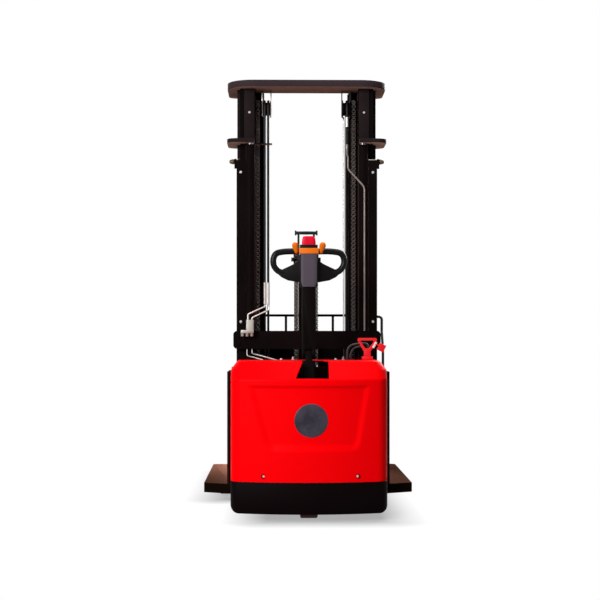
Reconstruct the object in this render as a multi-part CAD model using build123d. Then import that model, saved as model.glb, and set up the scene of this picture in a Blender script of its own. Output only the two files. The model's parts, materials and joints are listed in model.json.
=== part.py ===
"""A walkie reach stacker: straddle chassis, steered drive unit, three-stage mast and scissor reach forks.

Millimetres. +X is the operator's right, +Y points towards the load, +Z is up and the floor is z = 0.
Pieces are laid out with y counted from the hood's rear face, then centred over their length on export.
"""
import os
from math import cos, radians, sin

from build123d import *

# Hood and skirt
HOOD_WIDTH = 668.0
HOOD_DEPTH = 420.0
HOOD_BOTTOM = 164.0
HOOD_CREASE = 600.0
HOOD_TOP = 673.0
HOOD_SLOPE_RUN = 62.0
HOOD_BOW = 60.0
HOOD_CORNER = 42.0
HOOD_WALL = 4.0
HOOD_SHOULDER_RUN = 27.0
HOOD_SHOULDER_RISE = 37.0
PANEL_DEPTH = 3.0
PANEL_TOP = 567.0
PANEL_BOTTOM = 303.0
PANEL_TOP_WIDTH = 511.0
PANEL_BOTTOM_WIDTH = 373.0
PANEL_CORNER = 30.0
SKIRT_BOTTOM = 30.0
SKIRT_WALL = 6.0
SKIRT_CORNER = 36.0

# Notch that the steering post stands in
NOTCH_RADIUS = 75.0
NOTCH_RIGHT = 82.0
NOTCH_LEFT_REAR = 63.0
NOTCH_LEFT_FRONT = 28.0

# Chassis and legs
CHASSIS_WIDTH = 704.0
CHASSIS_PLATE = 10.0
CHASSIS_SIDE_START = 190.0
CHASSIS_SIDE_TOP = 625.0
FLOOR_PLATE = 8.0
BULKHEAD_Y = 470.0
BULKHEAD_PLATE = 12.0
BULKHEAD_TOP = 640.0
LEG_OUTER = 455.0
LEG_BOTTOM = 97.0
LEG_TOP = 139.0
LEG_START = 250.0
LEG_ROOT = 186.0
LEG_ROOT_GAP = 1.0
LEG_END = 1110.0
LEG_CORNER = 24.0
LEG_SKIN = 6.0
LEG_RIM = 32.0

# Load wheels
LOAD_WHEEL_RADIUS = 65.0
LOAD_WHEEL_SETBACK = 82.0
LOAD_HUB_RADIUS = 30.0
LOAD_AXLE_RADIUS = 10.0
WHEEL_SIDE_GAP = 5.0
WHEEL_ROUND_GAP = 6.0
CHEEK_PLATE = 10.0
CHEEK_HALF = 32.0

# Steered drive unit
STEER_Y = 130.0
DRIVE_RADIUS = 115.0
DRIVE_WIDTH = 75.0
DRIVE_TYRE = 22.0
DRIVE_SHAFT_RADIUS = 18.0
GEARBOX_PLATE = 52.0
GEARBOX_HALF = 60.0
BRIDGE_Z = 330.0
BRIDGE_PLATE = 15.0
NECK_RADIUS = 85.0
FLANGE_RADIUS = 115.0
FLANGE_PLATE = 16.0
MOTOR_RADIUS = 72.0
MOTOR_HEIGHT = 180.0
STEER_ROOM = 22.0

# Pieces under the hood
BOX_GAP = 10.0
BATTERY_SIDE_ROOM = 60.0
BATTERY_TOP_ROOM = 40.0
TRAY_GAP = 50.0
TANK_HALF = 70.0
TANK_HEIGHT = 150.0
PUMP_HALF = 45.0
PUMP_HEIGHT = 30.0
PUMP_MOTOR_RADIUS = 62.0
PUMP_MOTOR_HEIGHT = 160.0
CONTROLLER_HALF = 70.0
CONTROLLER_HEIGHT = 60.0
FIN_HEIGHT = 20.0
FIN_PITCH = 25.0
FIN_PLATE = 4.0

# Battery connector on the hood's top
CONNECTOR_X = 265.0
CONNECTOR_Y = 350.0
SOCKET_HALF_X = 24.0
SOCKET_HALF_Y = 20.0
SOCKET_HEIGHT = 16.0
SOCKET_WALL = 9.0
SOCKET_FLOOR = 4.0
PLUG_TOP = 44.0
LOOP_BASE = 40.0
LOOP_HEIGHT = 58.0
LOOP_HALF_LOW = 17.0
LOOP_HALF_HIGH = 44.0
LOOP_PLATE = 14.0
LOOP_BAR = 12.0
CABLE_RADIUS = 5.5
CABLE_DROP = 88.0
CABLE_ARCH = 70.0
CABLE_PITCH = 15.0

# Tiller
POST_WIDTH = 56.0
TILLER_PIVOT_Z = 705.0
PIVOT_PIN_RADIUS = 8.0
TONGUE_WIDTH = 30.0
ARM_WIDTH = 58.0
ARM_DEPTH = 46.0
ARM_END_RADIUS = 25.0
HEAD_BOTTOM = 990.0
HEAD_HALF = 38.0
HEAD_DEPTH = 56.0
GRIP_HALF = 164.0
GRIP_TUBE = 12.0
GRIP_SHIFT = 14.0
GRIP_BEND = 34.0
GRIP_DROOP = 5.0
GRIP_TUCK = 23.4
GRIP_LOW = 68.3
HEAD_WALL = 8.0
HEAD_CORNER = 10.0
WING_LOW = 18.0
WING_HIGH = 128.0
WING_EDGE = ((8.0, 21.0), (52.0, 29.0), (80.0, 43.0), (101.4, 62.9), (25.0, 99.0), (4.0, 114.0))
WING_CORNER = 4.0
THROTTLE_GAP = 1.0
THROTTLE_SHAFT = 6.0
THROTTLE_WIDTH = 28.0
WING_LEAN = 27.0
WING_RISE = 37.0
PANEL_PROUD = 4.0
BAND_BOTTOM = 1131.0
BAND_TOP = 1155.0
BUTTON_BASE = 1170.0
BUTTON_TOP = 1208.0
BUTTON_TRAVEL = 10.0

# Mast: y of its rear datum, and the three nested rails
MAST_Y = 490.0
MAST_HALF = 321.0
RAIL_WEB = 10.0
OUTER_FLANGE = 40.0
OUTER_REAR = 20.0
OUTER_DEPTH = 140.0
OUTER_FLANGE_PLATE = 14.0
OUTER_BOTTOM = 60.0
OUTER_DROP = 97.0
MIDDLE_STEP = 45.0
MIDDLE_REAR = 60.0
MIDDLE_DEPTH = 160.0
MIDDLE_FLANGE = 30.0
MIDDLE_FLANGE_PLATE = 14.0
MIDDLE_BOTTOM = 56.0
INNER_STEP = 45.0
INNER_REAR = 176.0
INNER_DEPTH = 100.0
INNER_FLANGE = 30.0
INNER_LIP = 24.0
INNER_FLANGE_PLATE = 12.0
INNER_BOTTOM = 80.0
INNER_ARM_PAD = 3.0
INNER_ARM_PLATE = 5.0
ROLLER_GAP = 0.3
ROLLER_WIDTH = 22.0
ROLLER_Z = 130.0
STUB_RADIUS = 14.0
STUB_LENGTH = 6.0

# Mast top, as one C-shaped tie with ear plates and head box below it
TIE_HALF = 365.0
TIE_TOP = 1946.0
TIE_PLATE = 30.0
TIE_BAR_DEPTH = 170.0
TIE_ARM_DEPTH = 330.0
TIE_ARM_INNER = 275.0
TIE_CORNER = 120.0
TIE_ARM_CORNER = 40.0
TIE_INNER_CORNER = 16.0
EAR_DROP = 266.0
EAR_PLATE = 18.0
EAR_DEPTH = 225.0
EAR_INNER = 240.0
EAR_CORNER = 45.0
HEAD_PANEL_PLATE = 6.0
HEAD_PANEL_OUTER = 287.0
HEAD_SIDE_PLATE = 14.0
HEAD_SIDE_REAR = 100.0
HEAD_SIDE_FRONT = 290.0
HEAD_SIDE_GAP = 17.0
INNER_TIE_PLATE = 18.0
INNER_TIE_DEPTH = 60.0
INNER_TIE_DROP = 2.0

# Cross members of the outer mast
BEAM_HALF = 335.0
BEAM_BOTTOM = 721.0
BEAM_TOP = 803.0
BEAM_PLATE = 20.0
BEAM_REAR = -10.0
BEAM_CORNER = 18.0
BASE_TIE_TOP = 260.0
CLAMP_DROP = 14.0
CLAMP_HALF = 25.0
CLAMP_PLATE = 10.0
CLAMP_REACH = 40.0
CLAMP_NUT = 12.0
CLAMP_BOLT = 5.0

# Side lift cylinders
LIFT_X = 258.0
LIFT_Y = 34.0
LIFT_BARREL_RADIUS = 22.0
LIFT_ROD_RADIUS = 15.0
LIFT_HEAD_GAP = 8.0
ROD_SEAT = 4.0
FIT_GAP = 0.05

# Chains, sheaves and hoses over the mast
SHEAVE_Y = 130.0
SHEAVE_DROP = 113.0
SHEAVE_PITCH = 36.0
SHEAVE_RIM = 42.0
SHEAVE_GAP = 0.3
SHEAVE_PIN = 8.0
CHAIN_X = 221.0
CHAIN_WIDTH = 25.0
CHAIN_THICK = 12.0
CHAIN_ANCHOR_Z = 755.0
CHAIN_END_Z = 112.0
SHEAVE_SIDE = 2.5
SHEAVE_FLANGE = 2.2
HANGER_PLATE = 3.5
HANGER_HALF = 20.0
HANGER_GAP = 0.5
HANGER_INNER = 163.0
HOSE_RADIUS = 5.5
LEFT_HOSES = (-193.5, -177.5)
RIGHT_HOSE = 187.0
LEFT_HOSE_START = 1026.0
RIGHT_HOSE_DROP = 16.0
GUIDE_PLATE = 5.0
PIPE_RADIUS = 4.0
PIPE_GAP = 1.5
PIPE_JOG_LOW = 205.0
PIPE_JOG_HIGH = 123.0
PIPE_TURN = 49.0
FERRULE_RADIUS = 7.0
FERRULE_LENGTH = 100.0
FERRULE_SHORT = 20.0
PIPE_FALL = 34.0
PIPE_DROPS = (14.0, 30.0)

# Valve block on the left of the cross-beam
BLOCK_LEFT = -276.0
BLOCK_RIGHT = -242.0
BLOCK_GAP = 3.0
BLOCK_HEIGHT = 47.0
BLOCK_REAR = -46.0
BLOCK_FRONT = 10.0
BLOCK_FLANGE = 14.0
BLOCK_FLANGE_LEFT = -300.0
UNION_DROP = 28.0
UNION_RADIUS = 8.0
SUPPLY_RADIUS = 3.0
SUPPLY_GAP = 1.0
SUPPLY_BENDS = (690.0, 700.0)
SUPPLY_RUNS = (112.0, 150.0)
SUPPLY_SLOPE = 0.283
SIDE_HOSE_TOP = 868.0
SIDE_HOSE_RADIUS = 6.0
SIDE_HOSE_GAP = 4.0

# Centre free-lift cylinder on the inner mast
FREE_BARREL_RADIUS = 35.0
FREE_ROD_RADIUS = 22.0
FREE_BARREL_TOP = 1053.0
CROSSHEAD_Z = 1140.0
CROSSHEAD_HALF = 20.0
CROSSHEAD_PIN_HALF = 68.0
FREE_SHEAVE_X = 46.0
FREE_PITCH = 34.0
FREE_CHAIN_WIDTH = 20.0
FREE_CHAIN_THICK = 10.0
FREE_SHEAVE_RIM = 34.0
FREE_CHAIN_RISE = 80.0
FOOT_PLATE = 30.0
GUARD_X = 36.0
GUARD_SETBACK = 46.0
GUARD_TOP = 1262.0
GUARD_POST = 3.5
GUARD_BAR = 6.0
GUARD_HALF = 52.0
GUARD_DISC = 10.0
GUARD_DISC_PLATE = 5.0

# Mast carriage and scissor reach
CARRIAGE_HALF = 193.0
CARRIAGE_PLATE = 13.0
CARRIAGE_BOTTOM = 115.0
CARRIAGE_TOP = 735.0
CARRIAGE_CROSS = 16.0
CROSS_HEIGHT = 90.0
CARRIAGE_ROLLER_INSET = 60.0
CARRIAGE_STUB = 4.0
REACH_PIVOT_Y = 345.0
REACH_PIVOT_Z = 150.0
REACH_ARM = 620.0
REACH_REST_DEG = 8.0
REACH_SWING_DEG = 54.0
ARM_PLATE = 16.0
ARM_HALF = 28.0
ARM_A_X = 118.0
ARM_B_X = 96.0
TRACK_ROLLER = 25.0
TRACK_BOTTOM = 400.0
TRACK_TOP = 800.0
TRACK_PLATE = 8.0
REACH_SHAFT = 18.0
LUG_RADIUS = 30.6
ARM_GAP = 2.0
TRACK_WIDTH = 34.0
TRACK_ROLLER_WIDTH = 20.0
CRANK_LENGTH = 50.0
CRANK_PIN = 6.0
CRANK_WIDTH = 34.0
CRANK_SLOT = 8.0
REACH_BARREL_RADIUS = 20.0
REACH_ROD_RADIUS = 10.0
REACH_BARREL_DROP = 110.0
REACH_BARREL_RISE = 60.0
REACH_FORK_HALF = 16.0
REACH_FORK_DEPTH = 10.0
REACH_FORK_TOP = 44.0
REACH_FORK_WEB = 12.0

# Fork carriage and forks
FORK_BAR_HALF = 300.0
FORK_BAR_PLATE = 26.0
FORK_BAR_HEIGHT = 80.0
FORK_BAR_GAP = 10.0
FORK_HOOK = 15.0
BACKREST_TOP = 886.0
BACKREST_ROD = 6.0
BACKREST_PITCH = 115.0
BACKREST_SHIFT = 22.0
FORK_LENGTH = 1070.0
FORK_WIDTH = 100.0
FORK_THICK = 36.0
FORK_X = 226.0
FORK_BOTTOM = 48.0
FORK_TIP = 12.0
FORK_SHANK_TOP = 505.0

# Places worked out from the sizes above
LEG_INNER = MAST_HALF
LOAD_WHEEL_X = (LEG_INNER + LEG_OUTER) / 2
LOAD_WHEEL_Y = LEG_END - LOAD_WHEEL_SETBACK
LOAD_WHEEL_WIDTH = LEG_OUTER - LEG_INNER - 2 * (LEG_RIM + WHEEL_SIDE_GAP)
CHASSIS_SIDE = CHASSIS_WIDTH / 2
STEER_CLEAR = FLANGE_RADIUS + STEER_ROOM
FLOOR_TOP = LEG_TOP + FLOOR_PLATE
HEAD_REAR = STEER_Y - HEAD_DEPTH / 2
EAR_TOP = TIE_TOP - EAR_DROP
EAR_BOTTOM = EAR_TOP - EAR_PLATE
OUTER_TOP = EAR_TOP - OUTER_DROP
LIFT_BARREL_TOP = EAR_BOTTOM - LIFT_HEAD_GAP
SHEAVE_Z = TIE_TOP - SHEAVE_DROP
RIGHT_HOSE_START = EAR_TOP - RIGHT_HOSE_DROP
BLOCK_BOTTOM = BEAM_TOP + BLOCK_GAP
BLOCK_TOP = BLOCK_BOTTOM + BLOCK_HEIGHT
FOOT_TOP = INNER_BOTTOM + FOOT_PLATE
GRIP_Y = STEER_Y + GRIP_SHIFT
THROTTLE_Y = STEER_Y - GRIP_SHIFT
THROTTLE_Z = (BAND_BOTTOM + BAND_TOP) / 2
OUTER_WEB_X = MAST_HALF - RAIL_WEB
MIDDLE_WEB_X = OUTER_WEB_X - MIDDLE_STEP
INNER_WEB_X = MIDDLE_WEB_X - INNER_STEP
REACH_REST_Y = REACH_PIVOT_Y + REACH_ARM * sin(radians(REACH_REST_DEG))
REACH_TOP_Z = REACH_PIVOT_Z + REACH_ARM * cos(radians(REACH_REST_DEG))
TRACK_HALF = TRACK_ROLLER + ROLLER_GAP + TRACK_PLATE
CARRIAGE_FRONT = REACH_PIVOT_Y - TRACK_HALF
FORK_BAR_Y = REACH_REST_Y + TRACK_HALF
FORK_FACE_Y = FORK_BAR_Y + FORK_BAR_PLATE + FORK_THICK
LENGTH = MAST_Y + FORK_FACE_Y + FORK_LENGTH
FREE_Y = INNER_REAR + INNER_DEPTH / 2
SHEAVE_ROOT = SHEAVE_PITCH - CHAIN_THICK / 2
FREE_ROOT = FREE_PITCH - FREE_CHAIN_THICK / 2
FREE_CHAIN_ANCHOR = TRACK_BOTTOM + FREE_CHAIN_RISE


def block(x0, x1, y0, y1, z0, z1):
    """A block between two corners."""
    return Pos((x0 + x1) / 2, (y0 + y1) / 2, (z0 + z1) / 2) * Box(abs(x1 - x0), abs(y1 - y0), abs(z1 - z0))


def rod_x(x0, x1, y, z, radius):
    """A round bar along X."""
    return Pos((x0 + x1) / 2, y, z) * Rot(0, 90, 0) * Cylinder(radius, abs(x1 - x0))


def rod_y(x, y0, y1, z, radius):
    """A round bar along Y."""
    return Pos(x, (y0 + y1) / 2, z) * Rot(90, 0, 0) * Cylinder(radius, abs(y1 - y0))


def rod_z(x, y, z0, z1, radius):
    """A round bar along Z."""
    return Pos(x, y, (z0 + z1) / 2) * Cylinder(radius, z1 - z0)


def pair(shape):
    """The right-hand shape and its mirror image on the left."""
    return [shape, mirror(shape, about=Plane.YZ)]


def tube(points, radius, bend):
    """A round tube along straight runs joined by tangent arcs."""
    path = FilletPolyline(*points, radius=bend)
    return sweep(Plane(origin=path @ 0, z_dir=path % 0) * Circle(radius), path=path)


def side_plate(points, x0, x1, corner=0.0):
    """A plate cut to an outline in the YZ plane, between two x places."""
    with BuildSketch(Plane.YZ.offset(x0)) as outline:
        with BuildLine():
            Polyline(*points, close=True)
        make_face()
        if corner:
            fillet(outline.vertices(), corner)
    return extrude(outline.sketch, x1 - x0)


def front_plate(points, y0, y1, corner=0.0):
    """A plate cut to an outline in the XZ plane, between two y places."""
    with BuildSketch(Plane.XZ.offset(-y1)) as outline:
        with BuildLine():
            Polyline(*points, close=True)
        make_face()
        if corner:
            fillet(outline.vertices(), corner)
    return extrude(outline.sketch, y1 - y0)


def save(name, shape):
    """Centre a piece over the truck's length and write it as its own file."""
    solids = shape if isinstance(shape, list) else [shape]
    placed = [Pos(0, -LENGTH / 2, 0) * each for each in solids]
    body = placed[0] if len(placed) == 1 else Compound(children=placed)
    export_step(body, f"parts/{name}.step")


def mast(shape):
    """Move a shape laid out from the mast's rear datum."""
    return Pos(0, MAST_Y, 0) * shape


def hood_plan(inset, rear, front, z):
    """The hood's outline seen from above: a bowed rear edge with rounded corners."""
    half = HOOD_WIDTH / 2 - inset
    with BuildSketch(Plane.XY.offset(z)) as plan:
        with BuildLine():
            ThreePointArc((-half, rear + HOOD_BOW), (0, rear), (half, rear + HOOD_BOW))
            Polyline((half, rear + HOOD_BOW), (half, front), (-half, front), (-half, rear + HOOD_BOW))
        make_face()
        fillet(plan.vertices().sort_by(Axis.Y)[:2], HOOD_CORNER - inset)
    return plan.sketch


def hood_form(inset, bottom, front):
    """The hood's outer form, or its hollow when inset by the wall."""
    top = HOOD_TOP - inset
    lower = extrude(hood_plan(inset, inset, front, bottom), HOOD_CREASE - bottom)
    crown = [hood_plan(inset, inset, front, HOOD_CREASE),
             hood_plan(inset, inset + HOOD_SLOPE_RUN, front, top)]
    form = lower + loft(crown, ruled=True)
    half = HOOD_WIDTH / 2 - inset
    shoulder = front_plate([(half - HOOD_SHOULDER_RUN, top), (half, top - HOOD_SHOULDER_RISE),
                            (half + HOOD_SHOULDER_RUN, top - HOOD_SHOULDER_RISE),
                            (half + HOOD_SHOULDER_RUN, top + inset + 1),
                            (half - HOOD_SHOULDER_RUN, top + inset + 1)], -1, front + 1)
    for wedge in pair(shoulder):
        form -= wedge
    return form


def hood():
    """The red hood shell with its sunk panel, tiller notch and connector opening."""
    outer = hood_form(0, HOOD_BOTTOM, HOOD_DEPTH)
    shell = outer - hood_form(HOOD_WALL, HOOD_BOTTOM - 1, HOOD_DEPTH + 1)
    half_top = PANEL_TOP_WIDTH / 2
    half_bottom = PANEL_BOTTOM_WIDTH / 2
    outline = front_plate([(-half_top, PANEL_TOP), (-half_bottom, PANEL_BOTTOM), (half_bottom, PANEL_BOTTOM),
                           (half_top, PANEL_TOP)], -1, HOOD_BOW + HOOD_CORNER, PANEL_CORNER / 2)
    skin = outer - Pos(0, PANEL_DEPTH, 0) * outer
    shell -= skin & outline
    with BuildSketch(Plane.XY.offset(HOOD_CREASE)) as notch:
        with Locations((0, STEER_Y)):
            Circle(NOTCH_RADIUS)
        with BuildLine():
            Polyline((-NOTCH_LEFT_REAR, -1), (-NOTCH_LEFT_FRONT, HOOD_SLOPE_RUN),
                     (-NOTCH_LEFT_FRONT, STEER_Y), (NOTCH_RIGHT, STEER_Y), (NOTCH_RIGHT, -1), close=True)
        make_face()
    return shell - extrude(notch.sketch, HOOD_TOP - HOOD_CREASE + 1)


def bumper_skirt():
    """The black skirt under the hood, rounded at its lower corners."""
    height = HOOD_BOTTOM - SKIRT_BOTTOM
    ring = extrude(hood_plan(0, 0, LEG_START, SKIRT_BOTTOM), height)
    ring -= extrude(hood_plan(SKIRT_WALL, SKIRT_WALL, LEG_START + 1, SKIRT_BOTTOM), height)
    front = Pos(0, 0, (SKIRT_BOTTOM + HOOD_TOP) / 2) * (
        Plane.XZ * RectangleRounded(HOOD_WIDTH, HOOD_TOP - SKIRT_BOTTOM, SKIRT_CORNER))
    return ring & extrude(front, HOOD_DEPTH, both=True)


def chassis_frame():
    """The welded frame: floor plate, side plates, bulkhead and the bridge that carries the drive unit."""
    side_inner = CHASSIS_SIDE - CHASSIS_PLATE
    room = STEER_CLEAR
    bulkhead_front = BULKHEAD_Y + BULKHEAD_PLATE
    bridge_top = BRIDGE_Z + BRIDGE_PLATE
    floor = extrude(hood_plan(SKIRT_WALL, SKIRT_WALL, BULKHEAD_Y, LEG_TOP), FLOOR_PLATE)
    floor -= rod_z(0, STEER_Y, LEG_TOP - 1, FLOOR_TOP + 1, room)
    floor -= block(-room, room, 0, STEER_Y, LEG_TOP - 1, FLOOR_TOP + 1)
    frame = floor + block(-side_inner, side_inner, BULKHEAD_Y, bulkhead_front, LEG_TOP, BULKHEAD_TOP)
    side = block(side_inner, CHASSIS_SIDE, CHASSIS_SIDE_START, bulkhead_front, LEG_TOP, CHASSIS_SIDE_TOP)
    bridge = block(-room, room, STEER_Y - FLANGE_RADIUS + HOOD_WALL, STEER_Y + room, BRIDGE_Z, bridge_top)
    bridge -= rod_z(0, STEER_Y, BRIDGE_Z - 1, bridge_top + 1, NECK_RADIUS + ROLLER_GAP)
    bridge += block(-room, room, STEER_Y + room, STEER_Y + room + CHASSIS_PLATE, FLOOR_TOP, bridge_top)
    cheek = block(room, room + CHASSIS_PLATE, STEER_Y, STEER_Y + room + CHASSIS_PLATE, FLOOR_TOP, bridge_top)
    for piece in (side, cheek):
        for each in pair(piece):
            bridge += each
    return frame + bridge


def leg_plan():
    """The right leg's outline from above: it hugs the skirt's side and is cut back at an angle."""
    root_x = HOOD_WIDTH / 2 + LEG_ROOT_GAP
    with BuildSketch(Plane.XY.offset(LEG_BOTTOM)) as plan:
        with BuildLine():
            Polyline((LEG_INNER, LEG_START), (root_x, LEG_START), (root_x, LEG_ROOT), (LEG_OUTER, LEG_START),
                     (LEG_OUTER, LEG_END), (LEG_INNER, LEG_END), close=True)
        make_face()
        fillet([v for v in plan.vertices() if v.Y > LEG_END - 1], LEG_CORNER)
    return plan.sketch


def leg():
    """The right straddle leg: a flat beam with a wheel pocket and axle cheeks at its load end."""
    beam = extrude(leg_plan(), LEG_TOP - LEG_BOTTOM)
    half = LOAD_WHEEL_WIDTH / 2 + WHEEL_SIDE_GAP
    reach = LOAD_WHEEL_RADIUS + WHEEL_ROUND_GAP
    beam -= block(LOAD_WHEEL_X - half, LOAD_WHEEL_X + half, LOAD_WHEEL_Y - reach, LOAD_WHEEL_Y + reach,
                  LEG_BOTTOM - 1, LEG_TOP - LEG_SKIN)
    with BuildSketch(Plane.YZ) as cheek:
        with Locations((LOAD_WHEEL_Y, (LEG_BOTTOM + LOAD_WHEEL_RADIUS) / 2)):
            Rectangle(2 * CHEEK_HALF, LEG_BOTTOM - LOAD_WHEEL_RADIUS)
        with Locations((LOAD_WHEEL_Y, LOAD_WHEEL_RADIUS)):
            Circle(CHEEK_HALF)
            Circle(LOAD_AXLE_RADIUS, mode=Mode.SUBTRACT)
    for x in (LOAD_WHEEL_X - half - CHEEK_PLATE, LOAD_WHEEL_X + half):
        beam += Pos(x, 0, 0) * extrude(cheek.sketch, CHEEK_PLATE)
    return beam


def load_axle():
    """The right load wheel's axle pin."""
    half = LOAD_WHEEL_WIDTH / 2 + WHEEL_SIDE_GAP + CHEEK_PLATE
    return rod_x(LOAD_WHEEL_X - half, LOAD_WHEEL_X + half, LOAD_WHEEL_Y, LOAD_WHEEL_RADIUS, LOAD_AXLE_RADIUS)


def load_wheel():
    """The right load wheel: a tyre with recessed sides around a bored hub."""
    with BuildSketch(Plane.XY) as section:
        with BuildLine():
            half = LOAD_WHEEL_WIDTH / 2
            bore = LOAD_AXLE_RADIUS + FIT_GAP
            shoulder = half - WHEEL_SIDE_GAP
            Polyline((bore, -half), (LOAD_HUB_RADIUS, -half), (LOAD_HUB_RADIUS, -shoulder),
                     (LOAD_WHEEL_RADIUS - WHEEL_SIDE_GAP, -half + WHEEL_SIDE_GAP / 2),
                     (LOAD_WHEEL_RADIUS, -shoulder), (LOAD_WHEEL_RADIUS, shoulder),
                     (LOAD_WHEEL_RADIUS - WHEEL_SIDE_GAP, half - WHEEL_SIDE_GAP / 2),
                     (LOAD_HUB_RADIUS, shoulder), (LOAD_HUB_RADIUS, half), (bore, half), close=True)
        make_face()
    wheel = revolve(section.sketch, Axis.Y)
    return Pos(LOAD_WHEEL_X, LOAD_WHEEL_Y, LOAD_WHEEL_RADIUS) * Rot(0, 0, 90) * wheel


def drive_tyre():
    """The drive wheel's tyre, rounded at its shoulders."""
    ring = Cylinder(DRIVE_RADIUS, DRIVE_WIDTH)
    ring = fillet(ring.edges().filter_by(GeomType.CIRCLE), WHEEL_SIDE_GAP * 1.6)
    ring -= Cylinder(DRIVE_RADIUS - DRIVE_TYRE, DRIVE_WIDTH + 1)
    return Pos(0, STEER_Y, DRIVE_RADIUS) * Rot(0, 90, 0) * ring


def drive_hub():
    """The drive wheel's dished hub with its shaft towards the gearbox."""
    rim = DRIVE_RADIUS - DRIVE_TYRE
    disc = Cylinder(rim, DRIVE_WIDTH)
    disc -= Pos(0, 0, -DRIVE_WIDTH / 4) * Cylinder(rim - CHASSIS_PLATE, DRIVE_WIDTH / 2 + 1)
    for hole in PolarLocations(rim * 0.6, 5):
        disc -= hole * Cylinder(CRANK_PIN, DRIVE_WIDTH + 1)
    hub = Pos(0, STEER_Y, DRIVE_RADIUS) * Rot(0, 90, 0) * disc
    return hub + rod_x(DRIVE_WIDTH / 2, DRIVE_WIDTH / 2 + GEARBOX_PLATE / 2, STEER_Y, DRIVE_RADIUS,
                       DRIVE_SHAFT_RADIUS)


def drive_gearbox():
    """The gearbox beside the drive wheel, with the neck and flange that turn in the bridge plate."""
    inner = DRIVE_WIDTH / 2 + WHEEL_SIDE_GAP
    with BuildSketch(Plane.YZ.offset(inner)) as leg_outline:
        with Locations((STEER_Y, DRIVE_RADIUS)):
            Circle(GEARBOX_HALF)
        with Locations((STEER_Y, (DRIVE_RADIUS + BRIDGE_Z - BRIDGE_PLATE) / 2)):
            Rectangle(2 * GEARBOX_HALF, BRIDGE_Z - BRIDGE_PLATE - DRIVE_RADIUS)
    case = extrude(leg_outline.sketch, GEARBOX_PLATE)
    case -= rod_x(inner - 1, inner + GEARBOX_PLATE / 2 + 1, STEER_Y, DRIVE_RADIUS,
                  DRIVE_SHAFT_RADIUS + FIT_GAP)
    neck_bottom = 2 * DRIVE_RADIUS + WHEEL_ROUND_GAP
    flange_bottom = BRIDGE_Z + BRIDGE_PLATE + ROLLER_GAP
    neck = rod_z(0, STEER_Y, neck_bottom, flange_bottom, NECK_RADIUS)
    flange = rod_z(0, STEER_Y, flange_bottom, flange_bottom + FLANGE_PLATE, FLANGE_RADIUS)
    return case + neck + flange


def drive_motor():
    """The upright drive motor on the gearbox flange, with cooling ribs."""
    base = BRIDGE_Z + BRIDGE_PLATE + ROLLER_GAP + FLANGE_PLATE
    motor = rod_z(0, STEER_Y, base, base + MOTOR_HEIGHT, MOTOR_RADIUS)
    for step in range(5):
        z = base + MOTOR_HEIGHT * (step + 1) / 6
        ring = rod_z(0, STEER_Y, z, z + FLOOR_PLATE, MOTOR_RADIUS + 1)
        motor -= ring - rod_z(0, STEER_Y, z, z + FLOOR_PLATE, MOTOR_RADIUS - FLOOR_PLATE / 2)
    return motor


def tiller_post():
    """The steering post from the motor's head up through the notch, with the tongue for the tiller pin."""
    base = BRIDGE_Z + BRIDGE_PLATE + ROLLER_GAP + FLANGE_PLATE + MOTOR_HEIGHT
    shoulder = TILLER_PIVOT_Z - ARM_END_RADIUS - WHEEL_SIDE_GAP
    with BuildSketch(Plane.XY.offset(base)) as foot:
        with Locations((0, STEER_Y)):
            Circle(MOTOR_RADIUS - CHASSIS_PLATE)
    column = block(-POST_WIDTH / 2, POST_WIDTH / 2, STEER_Y - ARM_DEPTH / 2, STEER_Y + ARM_DEPTH / 2,
                   base + CHASSIS_PLATE, shoulder)
    column = fillet(column.edges().filter_by(Axis.Z), FLOOR_PLATE)
    with BuildSketch(Plane.YZ.offset(-TONGUE_WIDTH / 2)) as tongue:
        with Locations((STEER_Y, TILLER_PIVOT_Z)):
            Circle(ARM_END_RADIUS - WHEEL_SIDE_GAP)
        with Locations((STEER_Y, (TILLER_PIVOT_Z + shoulder) / 2)):
            Rectangle(2 * (ARM_END_RADIUS - WHEEL_SIDE_GAP), TILLER_PIVOT_Z - shoulder)
        with Locations((STEER_Y, TILLER_PIVOT_Z)):
            Circle(PIVOT_PIN_RADIUS + FIT_GAP, mode=Mode.SUBTRACT)
    return extrude(foot.sketch, CHASSIS_PLATE) + column + extrude(tongue.sketch, TONGUE_WIDTH)


def tiller_arm():
    """The tiller's arm: a rounded box section with a forked foot round the post's tongue, and its pin."""
    with BuildSketch(Plane.YZ.offset(-ARM_WIDTH / 2)) as outline:
        with Locations((STEER_Y, TILLER_PIVOT_Z)):
            Circle(ARM_END_RADIUS)
        with Locations((STEER_Y, (TILLER_PIVOT_Z + HEAD_BOTTOM) / 2)):
            Rectangle(ARM_DEPTH, HEAD_BOTTOM - TILLER_PIVOT_Z)
    arm = extrude(outline.sketch, ARM_WIDTH)
    slot = TONGUE_WIDTH / 2 + ROLLER_GAP
    arm -= block(-slot, slot, STEER_Y - ARM_DEPTH, STEER_Y + ARM_DEPTH, TILLER_PIVOT_Z - ARM_DEPTH,
                 TILLER_PIVOT_Z + ARM_END_RADIUS + ROLLER_GAP)
    return arm + rod_x(-ARM_WIDTH / 2, ARM_WIDTH / 2, STEER_Y, TILLER_PIVOT_Z, PIVOT_PIN_RADIUS)


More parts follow.
